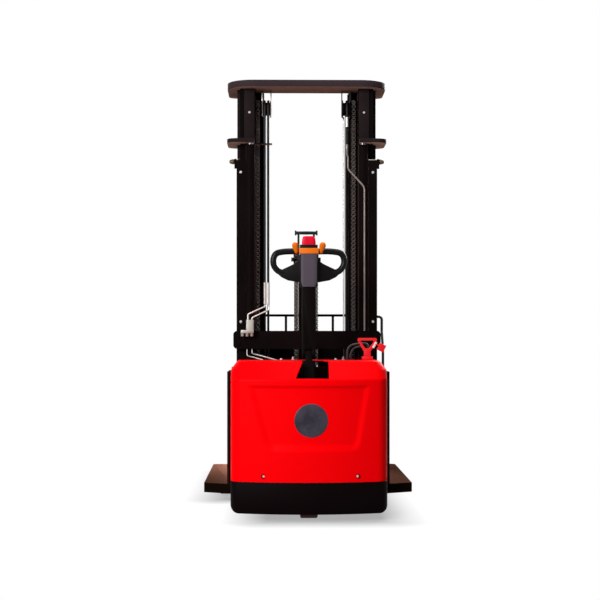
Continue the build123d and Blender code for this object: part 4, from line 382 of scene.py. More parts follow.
class MeshKit:
    """Makes and places plain meshes."""

    SMOOTH_DEG = 35.0
    MOULDED_DEG = 50.0
    MOULDED_SIDES = 40
    MERGE = 1e-6
    CAD_MERGE = 2e-5
    FLAT_DEG = 0.5
    BEVEL_DEG = 40.0
    BEVEL_STEPS = 2
    BEVEL_PROFILE = 0.5
    LINE_STEPS = 8
    LINE_ORDER = 3

    @staticmethod
    def piece(name: str, mesh: bpy.types.Mesh, finish: Finish, body: Body | None) -> bpy.types.Object:
        """Make an object of a mesh, dress it and let it ride on a body.

        Args:
            name: The piece's name.
            mesh: Its mesh, in the row frame.
            finish: Its finish.
            body: The body it rides on, or None.

        Returns:
            The new object.
        """
        mesh.materials.clear()
        mesh.materials.append(finish.material())
        made = placed(name, mesh)
        if body:
            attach(made, body.value)
        LOG.info("%s: %d faces", name, len(mesh.polygons))
        return made

    @staticmethod
    def from_bmesh(name: str, shape: bmesh.types.BMesh, smooth_deg: float = SMOOTH_DEG) -> bpy.types.Mesh:
        """Turn a bmesh into a mesh with outward faces, smooth below an angle.

        Args:
            name: The mesh's name.
            shape: The shape, which is freed.
            smooth_deg: Edges flatter than this are shaded smooth.

        Returns:
            The mesh.
        """
        bmesh.ops.remove_doubles(shape, verts=shape.verts, dist=MeshKit.MERGE)
        bmesh.ops.recalc_face_normals(shape, faces=shape.faces)
        for face in shape.faces:
            face.smooth = True
        limit = math.radians(smooth_deg)
        for edge in shape.edges:
            edge.smooth = len(edge.link_faces) == 2 and edge.calc_face_angle(0.0) < limit
        mesh = bpy.data.meshes.new(name)
        shape.to_mesh(mesh)
        shape.free()
        return mesh

    @staticmethod
    def skin(shape: bmesh.types.BMesh, rings: Sequence[Sequence[Point]], looped: bool = False) -> None:
        """Join closed rings of points in turn, then cap both ends or join the last ring to the first.

        Args:
            shape: The bmesh that gets the faces.
            rings: Rings of equal count.
            looped: Whether the last ring joins the first.
        """
        made = [[shape.verts.new(place) for place in ring] for ring in rings]
        count = len(made[0])
        pairs = list(zip(made, made[1:])) + ([(made[-1], made[0])] if looped else [])
        for low, high in pairs:
            for k in range(count):
                after = (k + 1) % count
                shape.faces.new((low[k], low[after], high[after], high[k]))
        if not looped:
            shape.faces.new(made[0][::-1])
            shape.faces.new(made[-1])

    @staticmethod
    def lofted(name: str, rings: Sequence[Sequence[Point]], smooth_deg: float = SMOOTH_DEG,
               looped: bool = False) -> bpy.types.Mesh:
        """A mesh through rings of points.

        Args:
            name: Its name.
            rings: Rings of equal count.
            smooth_deg: Edges flatter than this are shaded smooth.
            looped: Whether the last ring joins the first.

        Returns:
            The mesh.
        """
        shape = bmesh.new()
        MeshKit.skin(shape, rings, looped)
        return MeshKit.from_bmesh(name, shape, smooth_deg)

    @staticmethod
    def tube(name: str, points: Sequence[Point], radius: float, sides: int = 16) -> bpy.types.Mesh:
        """A round tube through points, capped at both ends.

        Args:
            name: The mesh's name.
            points: The line it follows.
            radius: Its radius.
            sides: Corners of its section.

        Returns:
            The mesh.
        """
        line = [Vector(p) for p in points]
        normal = (line[1] - line[0]).normalized().orthogonal().normalized()
        rings = []
        for i, at in enumerate(line):
            ahead = (line[min(i + 1, len(line) - 1)] - line[max(i - 1, 0)]).normalized()
            normal = (normal - ahead * normal.dot(ahead)).normalized()
            side = ahead.cross(normal)
            rings.append([at + radius * (math.cos(a) * normal + math.sin(a) * side) for a in turns(sides)])
        return MeshKit.lofted(name, rings)

    @staticmethod
    def moulded(name: str, sections: Sequence[Section], squareness: float) -> bpy.types.Mesh:
        """A moulded form lofted through rounded rectangles, from the lowest to the highest.

        Args:
            name: The mesh's name.
            sections: Its levels.
            squareness: 2 gives ellipses, more gives squarer corners.

        Returns:
            The mesh.
        """
        unit = [squared(a, 2 / squareness) for a in turns(MeshKit.MOULDED_SIDES, 0.5)]
        rings = [[(at.x + at.half_x * x, at.y + at.half_y * y, at.z) for x, y in unit] for at in sections]
        return MeshKit.lofted(name, rings, MeshKit.MOULDED_DEG)

    @staticmethod
    def block(name: str, low: Point, high: Point, bevel: float) -> bpy.types.Mesh:
        """A block between two corners with rounded edges.

        Args:
            name: The mesh's name.
            low: Lowest corner.
            high: Highest corner.
            bevel: Width of the rounding.

        Returns:
            The mesh.
        """
        shape = bmesh.new()
        middle = (Vector(low) + Vector(high)) / 2
        size = Vector(high) - Vector(low)
        bmesh.ops.create_cube(shape, size=1, matrix=Matrix.Translation(middle) @ Matrix.Diagonal((*size, 1)))
        bmesh.ops.bevel(shape, geom=list(shape.edges), offset=bevel, segments=MeshKit.BEVEL_STEPS,
                        affect="EDGES", profile=MeshKit.BEVEL_PROFILE)
        return MeshKit.from_bmesh(name, shape)

    @staticmethod
    def evaluated(holder: bpy.types.Object, name: str) -> bpy.types.Mesh:
        """Turn an object into the plain mesh that it shows, and remove it.

        Args:
            holder: The object.
            name: The mesh's name.

        Returns:
            The mesh.
        """
        graph = bpy.context.evaluated_depsgraph_get()
        mesh = bpy.data.meshes.new_from_object(holder.evaluated_get(graph))
        mesh.name = name
        bpy.data.objects.remove(holder)
        return mesh

    @staticmethod
    def through(name: str, route: Sequence[Point]) -> list[Point]:
        """Points of a smooth line along a route.

        Args:
            name: The line's name.
            route: Its control points.

        Returns:
            Points along the line.
        """
        data = bpy.data.curves.new(f"{name}_line", "CURVE")
        data.dimensions = "3D"
        spline = data.splines.new("NURBS")
        spline.points.add(len(route) - 1)
        for point, place in zip(spline.points, route):
            point.co = (*place, 1)
        spline.order_u = MeshKit.LINE_ORDER
        spline.use_endpoint_u = True
        spline.resolution_u = MeshKit.LINE_STEPS
        mesh = MeshKit.evaluated(placed(f"{name}_line", data), f"{name}_line")
        points = [tuple(v.co) for v in mesh.vertices]
        bpy.data.meshes.remove(mesh)
        return points

    @staticmethod
    def applied(name: str, mesh: bpy.types.Mesh, smooth_deg: float,
                *modifiers: tuple[str, dict]) -> bpy.types.Mesh:
        """Put modifiers on a mesh and give the result as a plain mesh.

        Args:
            name: The result's name.
            mesh: The mesh to work on.
            smooth_deg: Edges flatter than this are shaded smooth.
            modifiers: Each modifier's kind with its settings.

        Returns:
            The new mesh.
        """
        holder = placed(f"{name}_holder", mesh)
        for kind, settings in modifiers:
            modifier = holder.modifiers.new(kind.lower(), kind)
            for key, value in settings.items():
                setattr(modifier, key, value)
        shape = bmesh.new()
        shape.from_mesh(MeshKit.evaluated(holder, name))
        return MeshKit.from_bmesh(name, shape, smooth_deg)

    @staticmethod
    def merged(node: bpy.types.Object) -> bmesh.types.BMesh:
        """A CAD node's shape, with points that lie on each other merged.

        Args:
            node: The CAD node.

        Returns:
            The shape.
        """
        shape = bmesh.new()
        shape.from_mesh(node.data)
        bmesh.ops.remove_doubles(shape, verts=shape.verts, dist=MeshKit.CAD_MERGE)
        return shape

    @staticmethod
    def softened(node: bpy.types.Object, name: str, width: float) -> bpy.types.Mesh:
        """A merged copy of a CAD node with its sharp edges rounded.

        Args:
            node: The CAD node.
            name: The new mesh's name.
            width: How wide the rounding is; none where it is 0.

        Returns:
            The mesh.
        """
        shape = MeshKit.merged(node)
        if not width:
            return MeshKit.from_bmesh(name, shape)
        bmesh.ops.dissolve_limit(shape, angle_limit=math.radians(MeshKit.FLAT_DEG), verts=shape.verts,
                                 edges=shape.edges)
        mesh = MeshKit.from_bmesh(f"{name}_sharp", shape)
        rounding = {"width": width, "segments": MeshKit.BEVEL_STEPS, "limit_method": "ANGLE",
                    "angle_limit": math.radians(MeshKit.BEVEL_DEG), "use_clamp_overlap": True}
        return MeshKit.applied(name, mesh, MeshKit.SMOOTH_DEG, ("BEVEL", rounding))


class Repeater:
    """A Geometry Nodes tree that sets one template at every point of a mesh."""

    NAME = "repeat_at_points"
    INPUTS = {"Points": "Geometry", "Template": "Object", "Finish": "Material"}
    OUTPUTS = {"Pieces": "Geometry"}

    def tree(self) -> bpy.types.GeometryNodeTree:
        """Give the tree, building it on first use."""
        return bpy.data.node_groups.get(self.NAME) or self._build()

    def _build(self) -> bpy.types.GeometryNodeTree:
        """Build the tree.

        Returns:
            The new node tree.
        """
        wires = Wires.group(self.NAME, "GeometryNodeTree", self.INPUTS, self.OUTPUTS)
        wires.add("template", "GeometryNodeObjectInfo", {"As Instance": True})
        wires.add("place", "GeometryNodeInstanceOnPoints")
        wires.add("real", "GeometryNodeRealizeInstances")
        wires.add("paint", "GeometryNodeSetMaterial")
        wires.join("enter.Template > template.Object", "enter.Points > place.Points",
                   "template.Geometry > place.Instance", "place.Instances > real.Geometry",
                   "real.Geometry > paint.Geometry", "enter.Finish > paint.Material",
                   "paint.Geometry > leave.Pieces")
        return wires.tree

    def make(self, name: str, template: bpy.types.Mesh, places: Iterable[Point], finish: Finish,
             body: Body | None) -> bpy.types.Object:
        """Set a template at each place and turn the result into one plain mesh.

        Args:
            name: The piece's name.
            template: Mesh of one item, about its own origin.
            places: Where the items go, in the row frame.
            finish: Their finish.
            body: The body they ride on, or None.

        Returns:
            The new object.
        """
        points = bpy.data.meshes.new(f"{name}_places")
        points.from_pydata(list(places), [], [])
        holder = placed(f"{name}_holder", points)
        item = placed(f"{name}_item", template)
        modifier = holder.modifiers.new("repeat", "NODES")
        modifier.node_group = self.tree()
        sockets = {s.name: s.identifier for s in self.tree().interface.items_tree if s.in_out == "INPUT"}
        modifier[sockets["Template"]] = item
        modifier[sockets["Finish"]] = finish.material()
        mesh = MeshKit.evaluated(holder, name)
        bpy.data.objects.remove(item)
        return MeshKit.piece(name, mesh, finish, body)


@dataclass(frozen=True)
class Run:
    """A straight run of a strand: its lower end, the bodies it hangs between and the node it stands for."""

    label: str
    low: float
    bodies: tuple[Body, Body]
    span: Pair
    node: str


@dataclass
class Strand:
    """A chain or hose over a sheave, with two straight runs."""

    name: str
    x: float
    axle: Pair
    pitch_radius: float

    def hang(self, runs: tuple[Run, Run], carrier: Body, stands: bool) -> None:
        """Build both runs and lay the bend on the sheave.

        Args:
            runs: The rear run and the front run.
            carrier: The body that carries the sheave.
            stands: Whether these runs stand for the CAD's.
        """
        pieces = []
        for run, y in zip(runs, (self.axle[0] - self.pitch_radius, self.axle[0] + self.pitch_radius)):
            piece = self.run(run.label, y, run.low)
            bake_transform(piece)
            pieces.append(piece)
        self.wrap(carrier)
        if stands:
            for piece, run in zip(pieces, runs):
                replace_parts(piece, run.node)

    def bend(self, angle: float) -> Point:
        """A point of the pitch line on the sheave's upper half, from the rear at 0 to the front at pi."""
        return (self.x, self.axle[0] - self.pitch_radius * math.cos(angle),
                self.axle[1] + self.pitch_radius * math.sin(angle))

    def run(self, label: str, y: float, low: float) -> bpy.types.Object:
        """A straight run from its lower end up to the axle's height, riding on nothing."""
        raise NotImplementedError

    def wrap(self, body: Body) -> None:
        """The bend on the sheave's upper half, riding on the body that carries the sheave."""
        raise NotImplementedError


@dataclass
class LiftChain(Strand):
    """A leaf chain: links of three plates on pins."""

    width: float
    height: float
    link: float = 0.01905
    plate_shares: tuple[Pair, ...] = ((0.0, 0.17), (0.20, 0.80), (0.83, 1.0))
    plate_reach: float = 0.30
    plate_end: float = 0.62
    plate_round: float = 0.6
    plate_waist: float = 0.72
    pin_share: float = 0.17
    pin_proud: float = 0.001
    pin_sides: int = 8
    first_share: float = 0.75
    top_gap: float = 0.012
    fewest: int = 4

    def link_mesh(self) -> bpy.types.Mesh:
        """One link: waisted plates across the width, the middle one half a link up, and two pins.

        Returns:
            The mesh, about the link's middle.
        """
        half = self.height / 2
        reach = self.link * self.plate_reach
        bulge = reach - half * self.plate_round
        edge = [(half * self.plate_end, -reach), (half, -bulge), (half * self.plate_waist, 0.0),
                (half, bulge), (half * self.plate_end, reach)]
        outline = edge + [(-y, z) for y, z in edge[::-1]]
        shape = bmesh.new()
        for number, shares in enumerate(self.plate_shares):
            shift = self.link / 2 if number % 2 else 0.0
            sides = [-self.width / 2 + self.width * share for share in shares]
            MeshKit.skin(shape, [[(x, y, z + shift) for y, z in outline] for x in sides])
        pin = self.height * self.pin_share
        for z in (-self.link / 4, self.link / 4):
            turn = Matrix.Translation((0, 0, z)) @ Matrix.Rotation(math.pi / 2, 4, "Y")
            bmesh.ops.create_cone(shape, cap_ends=True, segments=self.pin_sides, radius1=pin, radius2=pin,
                                  depth=self.width + self.pin_proud, matrix=turn)
        return MeshKit.from_bmesh(f"{self.name}_link", shape)

    def run(self, label: str, y: float, low: float) -> bpy.types.Object:
        """A straight run of links up to the axle's height, riding on nothing.

        Args:
            label: Which run it is.
            y: Its depth.
            low: Its lower end.

        Returns:
            The piece.
        """
        high = self.axle[1]
        count = max(1, int((high - low - self.link) / self.link) + 1)
        heights = [low + self.link * self.first_share + k * self.link for k in range(count)]
        places = [(self.x, y, z) for z in heights if z < high - self.top_gap]
        return Repeater().make(f"{self.name}_{label}", self.link_mesh(), places, CHAIN_STEEL, None)

    def wrap(self, body: Body) -> None:
        """The links on the sheave's upper half.

        Args:
            body: The body that carries the sheave.
        """
        link = self.link_mesh()
        steps = max(self.fewest, round(math.pi * self.pitch_radius / self.link))
        shape = bmesh.new()
        for k in range(steps):
            angle = math.pi * (k + 0.5) / steps
            turned = link.copy()
            turned.transform(Matrix.Translation(self.bend(angle)) @ Matrix.Rotation(-angle, 4, "X"))
            shape.from_mesh(turned)
            bpy.data.meshes.remove(turned)
        name = f"{self.name}_wrap"
        MeshKit.piece(name, MeshKit.from_bmesh(name, shape), CHAIN_STEEL, body)


@dataclass
class MastHose(Strand):
    """A round hose."""

    radius: float
    run_steps: int = 48
    bend_steps: int = 24

    def run(self, label: str, y: float, low: float) -> bpy.types.Object:
        """A straight run up to the axle's height, riding on nothing.

        Args:
            label: Which run it is.
            y: Its depth.
            low: Its lower end.

        Returns:
            The piece.
        """
        rise = self.axle[1] - low
        points = [(self.x, y, low + rise * k / self.run_steps) for k in range(self.run_steps + 1)]
        name = f"{self.name}_{label}"
        return MeshKit.piece(name, MeshKit.tube(name, points, self.radius), HOSE_RUBBER, None)

    def wrap(self, body: Body) -> None:
        """The bend on the sheave's upper half.

        Args:
            body: The body that carries the sheave.
        """
        points = [self.bend(math.pi * k / self.bend_steps) for k in range(self.bend_steps + 1)]
        name = f"{self.name}_wrap"
        MeshKit.piece(name, MeshKit.tube(name, points, self.radius), HOSE_RUBBER, body)


@dataclass(frozen=True)
class BoltRow:
    """Bolt heads of one kind, the same at both sides."""

    name: str
    radius: float
    depth: float
    x: float
    y: float
    heights: tuple[float, ...]
    finish: Finish = BOLT_STEEL
    body: Body = Body.CHASSIS


@dataclass
class MastDress:
    """Chains, hoses and small fixings of the mast."""

    sheave: Pair = (MAST_REAR + 0.130, 1.833)
    sheave_radius: float = 0.036
    chain_places: Pair = (-0.2248, 0.2182)
    chain_size: Pair = (0.017, 0.012)
    chain_anchor: float = 0.755
    foot: float = 0.112
    run_ease: float = 0.095
    hose_radius: float = 0.0055
    hose_starts: tuple[Pair, ...] = ((-0.1935, 1.026), (-0.1775, 1.026), (0.187, 1.664))
    crosshead: Pair = (MAST_REAR + 0.226, 1.140)
    crosshead_radius: float = 0.034
    free_x: float = 0.046
    free_size: Pair = (0.020, 0.010)
    free_foot: float = 0.110
    free_anchor: float = 0.480
    free_span: float = 0.840
    feed_place: Pair = (0.174, MAST_REAR + 0.150)
    feed_heights: tuple[float, ...] = (0.802, 1.2, 1.6, 1.800)
    feed_radius: float = 0.0035
    strap_places: Pair = (-0.205, -0.1645)
    strap_half: float = 0.0035
    strap_depths: Pair = (MAST_REAR + 0.1075, MAST_REAR + 0.1105)
    strap_heights: Pair = (1.7975, 1.905)
    small_bevel: float = 0.001
    ferrule_heights: tuple[float, ...] = (1.745, 1.752, 1.783, 1.790)
    ferrule_radius: float = 0.0078
    ferrule_sides: int = 20
    rail_face: float = MAST_REAR + 0.020
    rail_side: float = 0.321
    cap_low: Point = (0.284, MAST_REAR + 0.020, 1.583)
    cap_high: Point = (0.318, MAST_REAR + 0.034, 1.5865)
    clamp_plate: float = 0.010
    clamp_z: float = 1.577
    lug_outline: tuple[Pair, ...] = ((0.0, -0.034), (0.040, -0.018), (0.040, 0.008), (0.030, 0.012),
                                     (0.006, 0.012), (0.0, 0.006))
    nut_radius: float = 0.0125
    nut_depth: float = 0.020
    nut_sides: int = 36
    nut_flat: float = 0.6
    nut_dome: float = 0.012
    nut_profile: tuple[Pair, ...] = ((0.0, 0.88), (0.0015, 1.0), (0.010, 1.0), (0.012, 0.90), (0.0135, 0.80),
                                     (0.017, 0.77), (0.020, 0.66), (0.0225, 0.45), (0.0235, 0.2))
    washer_share: float = 0.3
    washer_radius: float = 1.35
    washer_sides: int = 20
    bolt_taper: float = 0.94
    bolt_rows: tuple[BoltRow, ...] = (
        BoltRow("head_box_bolts", 0.0040, 0.005, 0.263, MAST_REAR + 0.054, (1.806,), body=Body.MIDDLE),
        BoltRow("rail_bolts", 0.0046, 0.006, 0.302, MAST_REAR + 0.020, (0.845, 1.527)),
        BoltRow("beam_bolts", 0.008, 0.007, 0.312, MAST_REAR - 0.010, (0.745, 0.779), BLACK_PAINT))

    def build(self) -> None:
        """Build every piece of the mast's dress."""
        self.lift_chains()
        self.hoses()
        self.free_chains()
        self.feed_pipe()
        self.straps()
        self.ferrule_and_cap()
        for side, sign in SIDES:
            self.lug(side, sign)
            self.cap_nut(side, sign)
        self.bolts()

    def lift_runs(self, kind: str, low: float) -> tuple[Run, Run]:
        """The runs from the outer mast up to the sheaves and down to the inner mast's foot.

        Args:
            kind: What hangs there, as the CAD nodes name it.
            low: Where the rear run starts.

        Returns:
            The rear run and the front run.
        """
        top = self.sheave[1]
        eased = (self.foot - self.run_ease, top + self.run_ease)
        return (Run("rear", low, (Body.CHASSIS, Body.MIDDLE), (low, top), f"{kind}_rear_runs"),
                Run("front", self.foot, (Body.INNER, Body.MIDDLE), eased, f"{kind}_front_runs"))

    def lift_chains(self) -> None:
        """The two lift chains from the cross-beam over the sheaves to the inner mast's foot."""
        runs = self.lift_runs("lift_chain", self.chain_anchor)
        for (side, sign), x in zip(SIDES, self.chain_places):
            chain = LiftChain(f"{side}_lift_chain", x, self.sheave, self.sheave_radius, *self.chain_size)
            chain.hang(runs, Body.MIDDLE, sign < 0)

    def hoses(self) -> None:
        """The hoses from the outer mast over the sheaves to the inner mast's foot."""
        for number, (x, low) in enumerate(self.hose_starts, 1):
            hose = MastHose(f"mast_hose_{number}", x, self.sheave, self.sheave_radius, self.hose_radius)
            hose.hang(self.lift_runs("hose", low), Body.MIDDLE, number == 1)

    def free_chains(self) -> None:
        """The two free-lift chains from the inner mast's foot over the crosshead to the carriage."""
        top = self.crosshead[1]
        runs = (Run("rear", self.free_foot, (Body.INNER, Body.CROSSHEAD), (self.free_foot, top),
                    "free_chain_rear_runs"),
                Run("front", self.free_anchor, (Body.CARRIAGE, Body.INNER),
                    (top - self.free_span, top + self.free_span), "free_chain_front_runs"))
        for side, sign in SIDES:
            chain = LiftChain(f"{side}_free_chain", sign * self.free_x, self.crosshead, self.crosshead_radius,
                              *self.free_size)
            chain.hang(runs, Body.CROSSHEAD, sign < 0)

    def feed_pipe(self) -> None:
        """The thin bright pipe down the middle mast's right side."""
        mesh = MeshKit.tube("feed_pipe", [(*self.feed_place, z) for z in self.feed_heights], self.feed_radius)
        MeshKit.piece("feed_pipe", mesh, ZINC, Body.MIDDLE)

    def straps(self) -> None:
        """The two bright straps beside the left hoses' sheave."""
        for number, x in enumerate(self.strap_places, 1):
            name = f"hanger_strap_{number}"
            ends = zip((x - self.strap_half, x + self.strap_half), self.strap_depths, self.strap_heights)
            MeshKit.piece(name, MeshKit.block(name, *ends, self.small_bevel), ZINC, Body.MIDDLE)

    def ferrule_and_cap(self) -> None:
        """The right hose's ferrule and the bright cap on the right rail."""
        place = (self.hose_starts[-1][0], self.sheave[0] - self.sheave_radius)
        line = [(*place, z) for z in self.ferrule_heights]
        ferrule = MeshKit.tube("hose_ferrule", line, self.ferrule_radius, self.ferrule_sides)
        MeshKit.piece("hose_ferrule", ferrule, ZINC, Body.MIDDLE)
        cap = MeshKit.block("rail_cap", self.cap_low, self.cap_high, self.small_bevel)
        MeshKit.piece("rail_cap", cap, BARE_STEEL, Body.CHASSIS)

    def lug(self, side: str, sign: int) -> None:
        """The plate at a rail's side that carries a cap nut; the left one stands for the CAD's clamps.

        Args:
            side: Which side.
            sign: Its sign along X.
        """
        name = f"{side}_clamp_lug"
        rings = [[(sign * x, self.rail_face + y, self.clamp_z + z) for y, z in self.lug_outline]
                 for x in (self.rail_side, self.rail_side + self.clamp_plate)]
        made = MeshKit.piece(name, MeshKit.lofted(name, rings), MAST_BLACK, Body.CHASSIS)
        if sign < 0:
            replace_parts(made, "cylinder_clamps")

    def cap_nut(self, side: str, sign: int) -> None:
        """A nut with six soft flats and a round dome, standing out from its lug.

        Args:
            side: Which side.
            sign: Its sign along X.
        """
        name = f"{side}_cap_nut"
        sixth = math.pi / 6
        rings = []
        for along, size in self.nut_profile:
            flats = self.nut_flat if along <= self.nut_dome else 0.0
            ring = []
            for angle in turns(self.nut_sides):
                flat = math.cos(sixth) / math.cos(angle % (2 * sixth) - sixth)
                reach = self.nut_radius * size * (1 - flats * (1 - flat))
                ring.append((sign * (self.rail_side + self.clamp_plate + along),
                             self.rail_face + self.nut_depth + reach * math.cos(angle),
                             self.clamp_z + reach * math.sin(angle)))
            rings.append(ring)
        MeshKit.piece(name, MeshKit.lofted(name, rings, MeshKit.MOULDED_DEG), BRASS, Body.CHASSIS)

    def bolt_mesh(self, radius: float, depth: float) -> bpy.types.Mesh:
        """A hexagon bolt head on its washer, facing the operator.

        Args:
            radius: Radius across the corners.
            depth: How far it stands out.

        Returns:
            The mesh, about its seat's centre.
        """
        shape = bmesh.new()
        seat = depth * self.washer_share
        for sides, size, start, end in ((self.washer_sides, radius * self.washer_radius, 0.0, seat),
                                        (6, radius, seat, depth)):
            place = Matrix.Rotation(math.pi / 2, 4, "X") @ Matrix.Translation((0, 0, (start + end) / 2))
            bmesh.ops.create_cone(shape, cap_ends=True, segments=sides, radius1=size,
                                  radius2=size * self.bolt_taper, depth=end - start, matrix=place)
        return MeshKit.from_bmesh("bolt_head", shape)

    def bolts(self) -> None:
        """Bolt heads on the head box, the rails and the cross-beam."""
        for row in self.bolt_rows:
            places = [(x, row.y, z) for x in (-row.x, row.x) for z in row.heights]
            Repeater().make(row.name, self.bolt_mesh(row.radius, row.depth), places, row.finish, row.body)


@dataclass
class HoodShell:
    """The red hood: a bowed shell with a sloped crown, cut shoulders, a sunk panel and the tiller's notch."""

    half: float = 0.334
    depth: float = 0.420
    bottom: float = 0.164
    crease: float = 0.595
    top: float = HOOD_TOP
    slope_run: float = 0.062
    bow: float = 0.060
    corner: float = 0.060
    shoulder_run: float = 0.027
    shoulder_rise: float = 0.037
    shoulder_soft: float = 0.006
    wall: float = 0.004
    crease_round: float = 0.014
    top_round: float = 0.010
    panel_top: float = 0.571
    panel_bottom: float = 0.288
    panel_left: Pair = (-0.188, -0.268)
    panel_right: Pair = (0.214, 0.262)
    panel_sink: float = 0.0075
    panel_edges: tuple[float, float, float, float] = (0.040, 0.032, 0.040, 0.012)
    panel_round: float = 0.050
    panel_depth: float = 0.1
    notch_floor: float = 0.6003
    notch_radius: float = 0.075
    notch_sides: int = 64
    notch_above: float = 0.02
    steer: float = 0.130
    notch: tuple[Pair, ...] = ((-0.063, -0.002), (-0.028, 0.062), (-0.028, 0.130), (0.082, 0.130),
                               (0.082, -0.002))
    face_steps: int = 86
    round_steps: int = 6
    slope_steps: int = 14
    side_steps: int = 12
    bow_steps: int = 62
    smooth_deg: float = 38.0

    def build(self) -> None:
        """Build the hood and let it stand for the CAD hood."""
        cutters = [self._prism("notch_cut", self.notch), self._prism("notch_round", self._circle())]
        shell = ("SOLIDIFY", {"thickness": self.wall, "offset": -1.0, "use_even_offset": True})
        exact = {"operation": "DIFFERENCE", "solver": "EXACT"}
        cuts = [("BOOLEAN", {**exact, "object": each}) for each in cutters]
        mesh = MeshKit.applied("hood_shell", self._skin(), self.smooth_deg, shell, *cuts)
        for each in cutters:
            bpy.data.objects.remove(each)
        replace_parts(MeshKit.piece("hood_shell", mesh, RED_PAINT, Body.CHASSIS), "hood")

    def bow_radius(self) -> float:
        """Radius of the rear face's bow."""
        return (self.half ** 2 + self.bow ** 2) / (2 * self.bow)

    def rear_at(self, x: float) -> float:
        """How far the bow has fallen back from its middle at x."""
        radius = self.bow_radius()
        return radius - math.sqrt(radius ** 2 - x ** 2)

    def sunk(self, x: float, z: float) -> float:
        """How far the panel is sunk at a place of the rear face.

        Args:
            x: Across the hood.
            z: Height.

        Returns:
            Depth below the plain face.
        """
        share = (z - self.panel_bottom) / (self.panel_top - self.panel_bottom)
        start = self.panel_left[0] + (self.panel_left[1] - self.panel_left[0]) * share
        end = self.panel_right[0] + (self.panel_right[1] - self.panel_right[0]) * share
        left, right, low, high = self.panel_edges
        sides = min((x - start) / left, (end - x) / right)
        floor = (z - self.panel_bottom) / low
        reach = self.panel_round / low
        if sides < reach and floor < reach:
            inner = reach - math.hypot(reach - max(sides, 0.0), reach - max(floor, 0.0))
        else:
            inner = min(sides, floor)
        return self.panel_sink * ease(min(inner, (self.panel_top - z) / high))

    def _levels(self) -> list[Point]:
        """Heights of the rings, each with how far its rear has moved in and its half width.

        Returns:
            Height, rear and half width of each ring, from the lowest.
        """
        tilt = math.atan2(self.slope_run, self.top - self.crease)
        cut = self.crease_round * math.tan(tilt / 2)
        edge = self.crease - cut
        levels = [(self.bottom + (edge - self.bottom) * k / self.face_steps, 0.0)
                  for k in range(self.face_steps + 1)]
        for k in range(1, self.round_steps + 1):
            angle = tilt * k / self.round_steps
            levels.append((edge + self.crease_round * math.sin(angle),
                           self.crease_round * (1 - math.cos(angle))))
        turn = math.pi / 2 - tilt
        back = self.top_round * math.tan(turn / 2)
        last = (self.top - back * math.cos(tilt), self.slope_run - back * math.sin(tilt))
        first = levels[-1]
        for k in range(1, self.slope_steps + 1):
            share = k / self.slope_steps
            levels.append((first[0] + (last[0] - first[0]) * share, first[1] + (last[1] - first[1]) * share))
        for k in range(1, self.round_steps + 1):
            angle = tilt + turn * k / self.round_steps
            levels.append((last[0] + self.top_round * (math.sin(angle) - math.sin(tilt)),
                           last[1] + self.top_round * (math.cos(tilt) - math.cos(angle))))
        return [(z, rear, self._half_at(z, rear)) for z, rear in levels]

    def _half_at(self, z: float, rear: float) -> float:
        """Half width at a height, drawn in along the cut shoulder and at the rounded top.

        Args:
            z: Height.
            rear: How far the rear's middle has moved in.

        Returns:
            The half width.
        """
        soft = self.shoulder_soft
        rise = z - (self.top - self.shoulder_rise)
        if rise <= -soft:
            drawn = 0.0
        elif rise < soft:
            drawn = (rise + soft) ** 2 / (4 * soft)
        else:
            drawn = rise
        edge = max(0.0, rear - self.slope_run)
        return self.half - self.shoulder_run * drawn / self.shoulder_rise - edge

    def _ring(self, rear: float, half: float) -> list[Pair]:
        """Points of the plan outline at one level, from the left front round the rear to the right front.

        Args:
            rear: How far the rear's middle has moved in.
            half: Half width.

        Returns:
            x and depth of each point.
        """
        radius = self.bow_radius()
        round_x = half - self.corner
        round_y = rear + radius - math.sqrt((radius - self.corner) ** 2 - round_x ** 2)
        touch_x = round_x * radius / (radius - self.corner)
        touch_y = rear + self.rear_at(touch_x)
        end = math.atan2(touch_y - round_y, -(touch_x - round_x))
        if end > 0:
            end -= 2 * math.pi
        steps = self.side_steps
        ring = [(-half, self.depth + (round_y - self.depth) * k / steps) for k in range(steps)]
        for k in range(steps):
            angle = -math.pi + (end + math.pi) * k / steps
            ring.append((-round_x + self.corner * math.cos(angle), round_y + self.corner * math.sin(angle)))
        for k in range(self.bow_steps + 1):
            x = -touch_x + touch_x * k / self.bow_steps
            ring.append((x, rear + self.rear_at(x)))
        return ring + [(-x, y) for x, y in ring[-2::-1]]

    def _skin(self) -> bpy.types.Mesh:
        """The outer skin, open at the floor and towards the mast.

        Returns:
            The mesh.
        """
        shape = bmesh.new()
        rings = []
        for z, rear, half in self._levels():
            row = []
            for x, y in self._ring(rear, half):
                sink = self.sunk(x, z) if y < self.panel_depth else 0.0
                row.append(shape.verts.new((x, HOOD_REAR + y + sink, z)))
            rings.append(row)
        for low, high in zip(rings, rings[1:]):
            for k in range(len(low) - 1):
                shape.faces.new((low[k], low[k + 1], high[k + 1], high[k]))
        shape.faces.new(rings[-1])
        mesh = MeshKit.from_bmesh("hood_skin", shape)
        lid = max(mesh.polygons, key=lambda face: len(face.vertices))
        if lid.normal.z < 0:
            mesh.flip_normals()
        return mesh

    def _circle(self) -> list[Pair]:
        """The round part of the notch, about the steering axis."""
        reach = self.notch_radius
        return [(reach * math.cos(a), self.steer + reach * math.sin(a)) for a in turns(self.notch_sides)]

    def _prism(self, name: str, outline: Sequence[Pair]) -> bpy.types.Object:
        """An upright prism that cuts the notch.

        Args:
            name: Its name.
            outline: x and depth of its corners.

        Returns:
            The cutter, which is removed after use.
        """
        rings = [[(x, HOOD_REAR + y, z) for x, y in outline]
                 for z in (self.notch_floor, self.top + self.notch_above)]
        return placed(name, MeshKit.lofted(name, rings))


